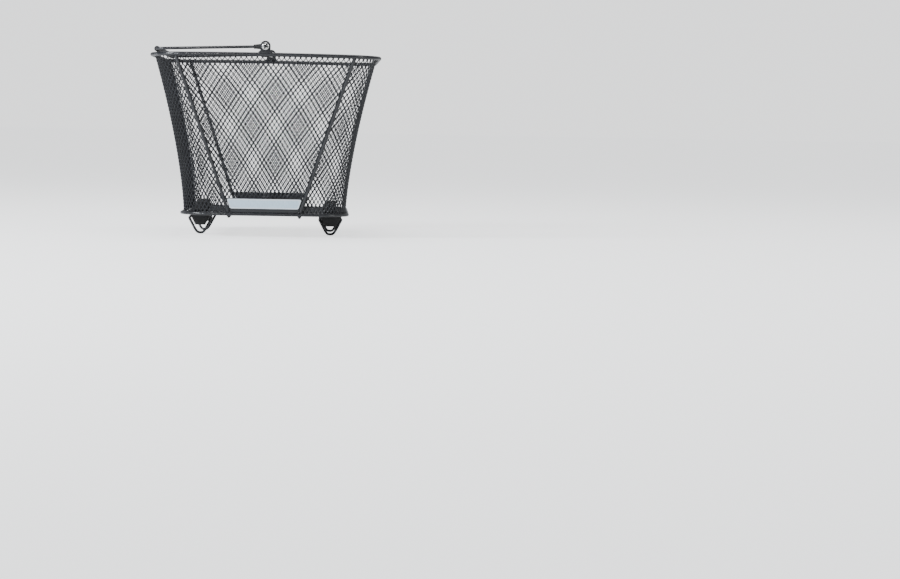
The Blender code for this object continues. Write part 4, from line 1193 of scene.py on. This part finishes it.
def hook_line():
    """Centre line of a right-hand hook about its hinge axis, and its sheet's normal at each point.

    Laid flat it runs stub, bend, straight leg, nose and back. Past the straight part the wire is
    rolled inwards on a cylinder of the fold's radius, and goes on straight after the fold's angle.
    """
    angle = HOOK_LEG_ANGLE
    tangent = HOOK_TOP_BEND * math.tan((QUARTER + angle) / 2)
    bend_x = HOOK_TOP_X - tangent
    stub = np.stack([np.linspace(HOOK_STUB, bend_x, 12)[:-1], np.zeros(11)], axis=-1)
    bend = arc((bend_x, HOOK_TOP_BEND), HOOK_TOP_BEND, -90, math.degrees(angle), 12)
    nose_down = HOOK_TOP_X / math.tan(angle) - HOOK_NOSE / math.sin(angle)
    leg_end = np.array([HOOK_NOSE * math.cos(angle), nose_down + HOOK_NOSE * math.sin(angle)])
    leg = bend[-1] + (leg_end - bend[-1]) * np.linspace(0, 1, 40)[1:-1, None]
    nose = arc((0.0, nose_down), HOOK_NOSE, math.degrees(angle), 90, 10)
    half = np.concatenate([stub, bend, leg, nose])
    flat = np.concatenate([half, half[-2::-1] * (-1, 1)])
    x, down = flat[:, 0], flat[:, 1]
    turn = np.clip((down - HOOK_STRAIGHT) / HOOK_FOLD, 0.0, HOOK_FOLD_ANGLE)
    rest = np.maximum(down - HOOK_STRAIGHT - HOOK_FOLD * turn, 0.0)
    inwards = HOOK_FOLD * (1 - np.cos(turn)) + rest * np.sin(turn)
    fall = np.minimum(down, HOOK_STRAIGHT) + HOOK_FOLD * np.sin(turn) + rest * np.cos(turn)
    path = np.stack([x, inwards, -fall], axis=-1)
    normal = np.stack([0 * turn, np.cos(turn), np.sin(turn)], axis=-1)
    return path, normal


def make_hooks(_form, sizes, finishes):
    """The four sprung wire hooks, each on its own hinge."""
    path, normal = hook_line()
    rubbed = np.clip((-path[:, 2] - 0.012) / 0.008, 0.0, 1.0)[:, None]
    grid = tube(path, sizes.hook_wire / 2, normal, 14, ease=0.0004)
    wear = with_end_rows(rubbed) * 0.45 + 0.05
    places = {joint["child"]: joint["pos_m"] for joint in frame["joints"]}
    for side, sign_y in SIDES.items():
        for end in ENDS:
            node = f"rack_hook_{side}_{end}"
            turn = np.array([-sign_y, -sign_y, 1])
            shape = Shape().add(grid * turn + np.array(places[node]), wear=wear)
            shape.finish(f"wire_hook_{side}_{end}", finishes.coat, node, body=node)


def make_saddles(_form, _sizes, finishes):
    """Saddle blocks on the rack tubes, their caps on the basket's floor, and the bolts that join them."""
    for side in SIDES:
        for end in ENDS:
            corner = f"{side}_{end}"
            softened(f"saddle_block_{corner}", f"tube_saddle_{corner}", finishes.plastic, SADDLE_EDGE)
            make_cap(corner, finishes)
            make_bolt(corner, finishes)
            make_nut(f"pocket_nut_{corner}", f"saddle_nut_{corner}", (0, 0, 1), 0.0080, 0.0026, finishes)


def make_cap(corner, finishes):
    """A cap: a rounded square that draws in to a chamfer, with a round counterbore for the bolt's head.

    Rows go from the square's outline to a circle: (1 - b) * square + b * circle, for b from 0 to 1.
    """
    low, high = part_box(f"saddle_cap_{corner}")
    centre, half, height = (low + high) / 2, (high.x - low.x) / 2, high.z - low.z
    around = np.linspace(0, 1, 96, endpoint=False)
    x, y = rounded_rectangle(half, half, CAP_CORNER, around)
    square = np.stack([x, y], axis=-1)
    circle = unit(square)
    flange, seat, bore, floor = CAP_FLANGE, CAP_SEAT / half, CAP_BORE / half, height - CAP_SINK
    rows = [  # share of the circle, size, height
        (0.0, 0.97, 0.0), (0.0, 1.0, 0.0004), (0.0, 1.0, flange - 0.0004), (0.0, 0.97, flange),
        (0.0, 0.90, flange + 0.0001), (0.05, 0.865, flange + 0.0006), (0.2, 0.80, height - 0.0016),
        (0.25, 0.785, height - 0.0006), (0.3, 0.75, height - 0.0001), (0.35, 0.71, height),
        (1.0, seat + 0.0003 / half, height), (1.0, seat, height - 0.0003),
        (1.0, seat, floor), (1.0, bore, floor), (1.0, bore, 0.0),
    ]
    blend, size, level = (np.array(values)[:, None, None] for values in zip(*rows))
    flat = ((1 - blend) * square + blend * circle * half) * size
    grid = np.concatenate([flat, np.broadcast_to(level, (*flat.shape[:2], 1))], axis=-1)
    grid = grid + (centre.x, centre.y, low.z)
    shape = Shape().add(grid, wrap_rows=True, wear=0.15)
    shape.finish(f"floor_cap_{corner}", finishes.plastic, f"saddle_cap_{corner}")


def make_bolt(corner, finishes):
    """A socket-head bolt, its hexagon socket sunk in the head."""
    low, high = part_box(f"saddle_bolt_{corner}")
    centre = ((low.x + high.x) / 2, (low.y + high.y) / 2, high.z)
    radius = np.concatenate([np.linspace(0.00003, 0.0026, 26), np.linspace(0.0028, 0.0039, 6), [0.00415]])
    heights = np.concatenate([np.zeros(32), [-0.00012]])
    top = driven_head(radius, heights, hexagon_socket, SOCKET_SINK, centre, Z_AXIS, X_AXIS, 72)
    drop = low.z - high.z
    rows = [
        (BOLT_HEAD, -0.0004), (BOLT_HEAD, -BOLT_HEAD_HEIGHT),
        (BOLT_SHANK, -BOLT_HEAD_HEIGHT), (BOLT_SHANK, drop + 0.0045),
    ]
    shape = Shape().add(np.concatenate([top, turned(rows, centre, Z_AXIS, X_AXIS, 72)])[::-1])
    shape.add(thread(BOLT_SHANK, drop + 0.0046, drop, 0.0008, centre, Z_AXIS, X_AXIS)[::-1])
    shape.finish(f"socket_bolt_{corner}", finishes.zinc, f"saddle_bolt_{corner}")


# ---------------- stage

CAMERA_PLACE = (0.077, -3.5, 0.1555)
CAMERA_YAW = math.radians(3.146)
CAMERA_PITCH = math.radians(-3.827)
CAMERA_ROLL = math.radians(1.026)
CAMERA_LENS = 95.94  # on a sensor 36 mm wide
BACKDROP = 1.7  # brightness of the surround as the camera sees it
ROOM = 0.36  # brightness with which it lights the basket
FLOOR_GLOW = 1.36  # lifts the floor to the surround's brightness
SEEN_TINT = (0.98, 0.99, 1.0, 1.0)  # of the floor and the surround as the camera sees them
COOL, NEUTRAL = (0.92, 0.96, 1.0), (1.0, 1.0, 1.0)
LIGHTS = (  # name, place, side of the square, watts and colour
    ("key", (-2.1, -1.35, 1.35), 0.9, 80.0, COOL),
    ("corner", (-1.3, -2.0, 0.8), 0.3, 14.0, COOL),
    ("front", (-0.3, -2.6, 1.3), 0.25, 7.0, NEUTRAL),
    ("fill", (2.1, -1.5, 1.0), 0.8, 12.0, NEUTRAL),
    ("top", (0.1, 0.3, 2.2), 1.4, 22.0, NEUTRAL),
)


def camera_turn():
    """The camera's axes from its yaw, pitch and roll, as a matrix of columns right, up and back."""
    forward = np.array([
        math.sin(CAMERA_YAW) * math.cos(CAMERA_PITCH),
        math.cos(CAMERA_YAW) * math.cos(CAMERA_PITCH),
        math.sin(CAMERA_PITCH),
    ])
    right = np.array([math.cos(CAMERA_YAW), -math.sin(CAMERA_YAW), 0.0])
    up = np.cross(right, forward)
    turned_right = right * math.cos(CAMERA_ROLL) + up * math.sin(CAMERA_ROLL)
    turned_up = up * math.cos(CAMERA_ROLL) - right * math.sin(CAMERA_ROLL)
    return Matrix(np.stack([turned_right, turned_up, -forward], axis=-1).tolist())


def add_light(name, place_at, aim, size, power, tint):
    light = bpy.data.lights.new(name, "AREA")
    light.shape = "RECTANGLE"
    light.size = light.size_y = size
    light.energy = power
    light.color = tint
    lamp = bpy.data.objects.new(name, light)
    bpy.context.scene.collection.objects.link(lamp)
    back = unit(np.array(place_at, float) - np.array(aim, float))
    side = unit(np.cross(Z_AXIS, back))
    axes = np.stack([side, np.cross(back, side), back], axis=-1)
    lamp.matrix_world = Matrix.Translation(place_at) @ Matrix(axes.tolist()).to_4x4()


def make_stage(_form, _sizes, finishes):
    """Pale floor, soft lights, an even pale surround and the camera."""
    x, y = np.meshgrid(np.linspace(-30, 30, 13), np.linspace(-30, 60, 13))
    points = np.stack([x, y, np.zeros_like(x)], axis=-1)
    mesh = bpy.data.meshes.new("studio_floor")
    faces = grid_faces(13, 13, wrap_columns=False)
    mesh.from_pydata(points.reshape(-1, 3).tolist(), [], faces.tolist())
    mesh.materials.append(finishes.floor)
    ground = bpy.data.objects.new("studio_floor", mesh)
    bpy.context.scene.collection.objects.link(ground)
    aim = (0.0, 0.0, 0.15)
    for name, place_at, size, power, tint in LIGHTS:
        add_light(name, place_at, aim, size, power, tint)
    world = bpy.context.scene.world or bpy.data.worlds.new("studio")
    bpy.context.scene.world = world
    world.use_nodes = True
    tree = world.node_tree
    background = tree.nodes["Background"]
    dim = ROOM / BACKDROP
    shade = mix(tree, camera_ray(tree), (0.93 * dim, 0.96 * dim, dim, 1.0), SEEN_TINT)
    tree.links.new(shade, background.inputs["Color"])
    background.inputs["Strength"].default_value = BACKDROP
    camera_data = bpy.data.cameras.new("studio_camera")
    camera_data.lens = CAMERA_LENS
    camera_data.sensor_width = 36.0
    camera_data.clip_end = 200.0
    camera = bpy.data.objects.new("studio_camera", camera_data)
    bpy.context.scene.collection.objects.link(camera)
    camera.matrix_world = Matrix.Translation(CAMERA_PLACE) @ camera_turn().to_4x4()
    bpy.context.scene.camera = camera


# ---------------- operators

built = {}


def ready(context):
    """The basket's form, sizes and finishes, worked out once for all operators."""
    if not built:
        built["form"] = Form(context.scene.basket_sizes)
        built["finishes"] = Finishes(context.scene.basket_finish)
    return built["form"], context.scene.basket_sizes, built["finishes"]


class BuildStep:
    """What the operators share: each runs the functions that it names, in order."""

    def execute(self, context):
        for step in self.steps:
            step(*ready(context))
        return {"FINISHED"}


class BASKET_OT_wall(BuildStep, bpy.types.Operator):
    """Build the flared wall of expanded mesh"""

    bl_idname = "basket.wall"
    bl_label = "Mesh Wall"
    steps = (make_wall,)


class BASKET_OT_floor(BuildStep, bpy.types.Operator):
    """Build the mesh floor"""

    bl_idname = "basket.floor"
    bl_label = "Mesh Floor"
    steps = (make_floor,)


class BASKET_OT_rings(BuildStep, bpy.types.Operator):
    """Build the rim wire and the base wire"""

    bl_idname = "basket.rings"
    bl_label = "Rim and Base Wires"
    steps = (make_rings,)


class BASKET_OT_struts(BuildStep, bpy.types.Operator):
    """Build the side struts and the floor runners"""

    bl_idname = "basket.struts"
    bl_label = "Struts and Runners"
    steps = (make_struts, make_runners)


class BASKET_OT_welds(BuildStep, bpy.types.Operator):
    """Build the weld beads"""

    bl_idname = "basket.welds"
    bl_label = "Welds"
    steps = (make_welds,)


class BASKET_OT_panels(BuildStep, bpy.types.Operator):
    """Build the foot plates and the reflective panels"""

    bl_idname = "basket.panels"
    bl_label = "Side Panels"
    steps = (make_side_panels,)


class BASKET_OT_pivots(BuildStep, bpy.types.Operator):
    """Build the handle's lugs, screws, washers and nuts"""

    bl_idname = "basket.pivots"
    bl_label = "Handle Pivots"
    steps = (make_lugs, make_pivot_screws, make_pivot_fasteners)


class BASKET_OT_handle(BuildStep, bpy.types.Operator):
    """Build the folding handle"""

    bl_idname = "basket.handle"
    bl_label = "Handle"
    steps = (make_fittings, make_bail, make_grip)


class BASKET_OT_hooks(BuildStep, bpy.types.Operator):
    """Build the four rack hooks"""

    bl_idname = "basket.hooks"
    bl_label = "Rack Hooks"
    steps = (make_hooks,)


class BASKET_OT_saddles(BuildStep, bpy.types.Operator):
    """Build the tube saddles with their caps, bolts and nuts"""

    bl_idname = "basket.saddles"
    bl_label = "Tube Saddles"
    steps = (make_saddles,)


class BASKET_OT_stage(BuildStep, bpy.types.Operator):
    """Build the floor, the lights and the camera"""

    bl_idname = "basket.stage"
    bl_label = "Stage"
    steps = (make_stage,)


OPERATORS = (
    BASKET_OT_wall, BASKET_OT_floor, BASKET_OT_rings, BASKET_OT_struts, BASKET_OT_welds,
    BASKET_OT_panels, BASKET_OT_pivots, BASKET_OT_handle, BASKET_OT_hooks,
    BASKET_OT_saddles, BASKET_OT_stage,
)


class BASKET_PT_panel(bpy.types.Panel):
    """Sizes, colours and build steps of the basket"""

    bl_label = "Rear Rack Basket"
    bl_idname = "BASKET_PT_panel"
    bl_space_type = "VIEW_3D"
    bl_region_type = "UI"
    bl_category = "Basket"

    def draw(self, context):
        for group in (context.scene.basket_sizes, context.scene.basket_finish):
            column = self.layout.column()
            for name in group.__annotations__:
                column.prop(group, name)
        for operator in OPERATORS:
            self.layout.operator(operator.bl_idname)


CLASSES = (BasketSizes, BasketFinish, *OPERATORS, BASKET_PT_panel)


def register():
    for kind in CLASSES:
        bpy.utils.register_class(kind)
    bpy.types.Scene.basket_sizes = bpy.props.PointerProperty(type=BasketSizes)
    bpy.types.Scene.basket_finish = bpy.props.PointerProperty(type=BasketFinish)


def unregister():
    del bpy.types.Scene.basket_finish
    del bpy.types.Scene.basket_sizes
    for kind in reversed(CLASSES):
        bpy.utils.unregister_class(kind)


def main():
    for old in [item for item in bpy.data.objects if item.type in {"CAMERA", "LIGHT"}]:
        bpy.data.objects.remove(old)
    register()
    for operator in OPERATORS:
        group, name = operator.bl_idname.split(".")
        getattr(getattr(bpy.ops, group), name)()


if __name__ == "__main__":
    main()
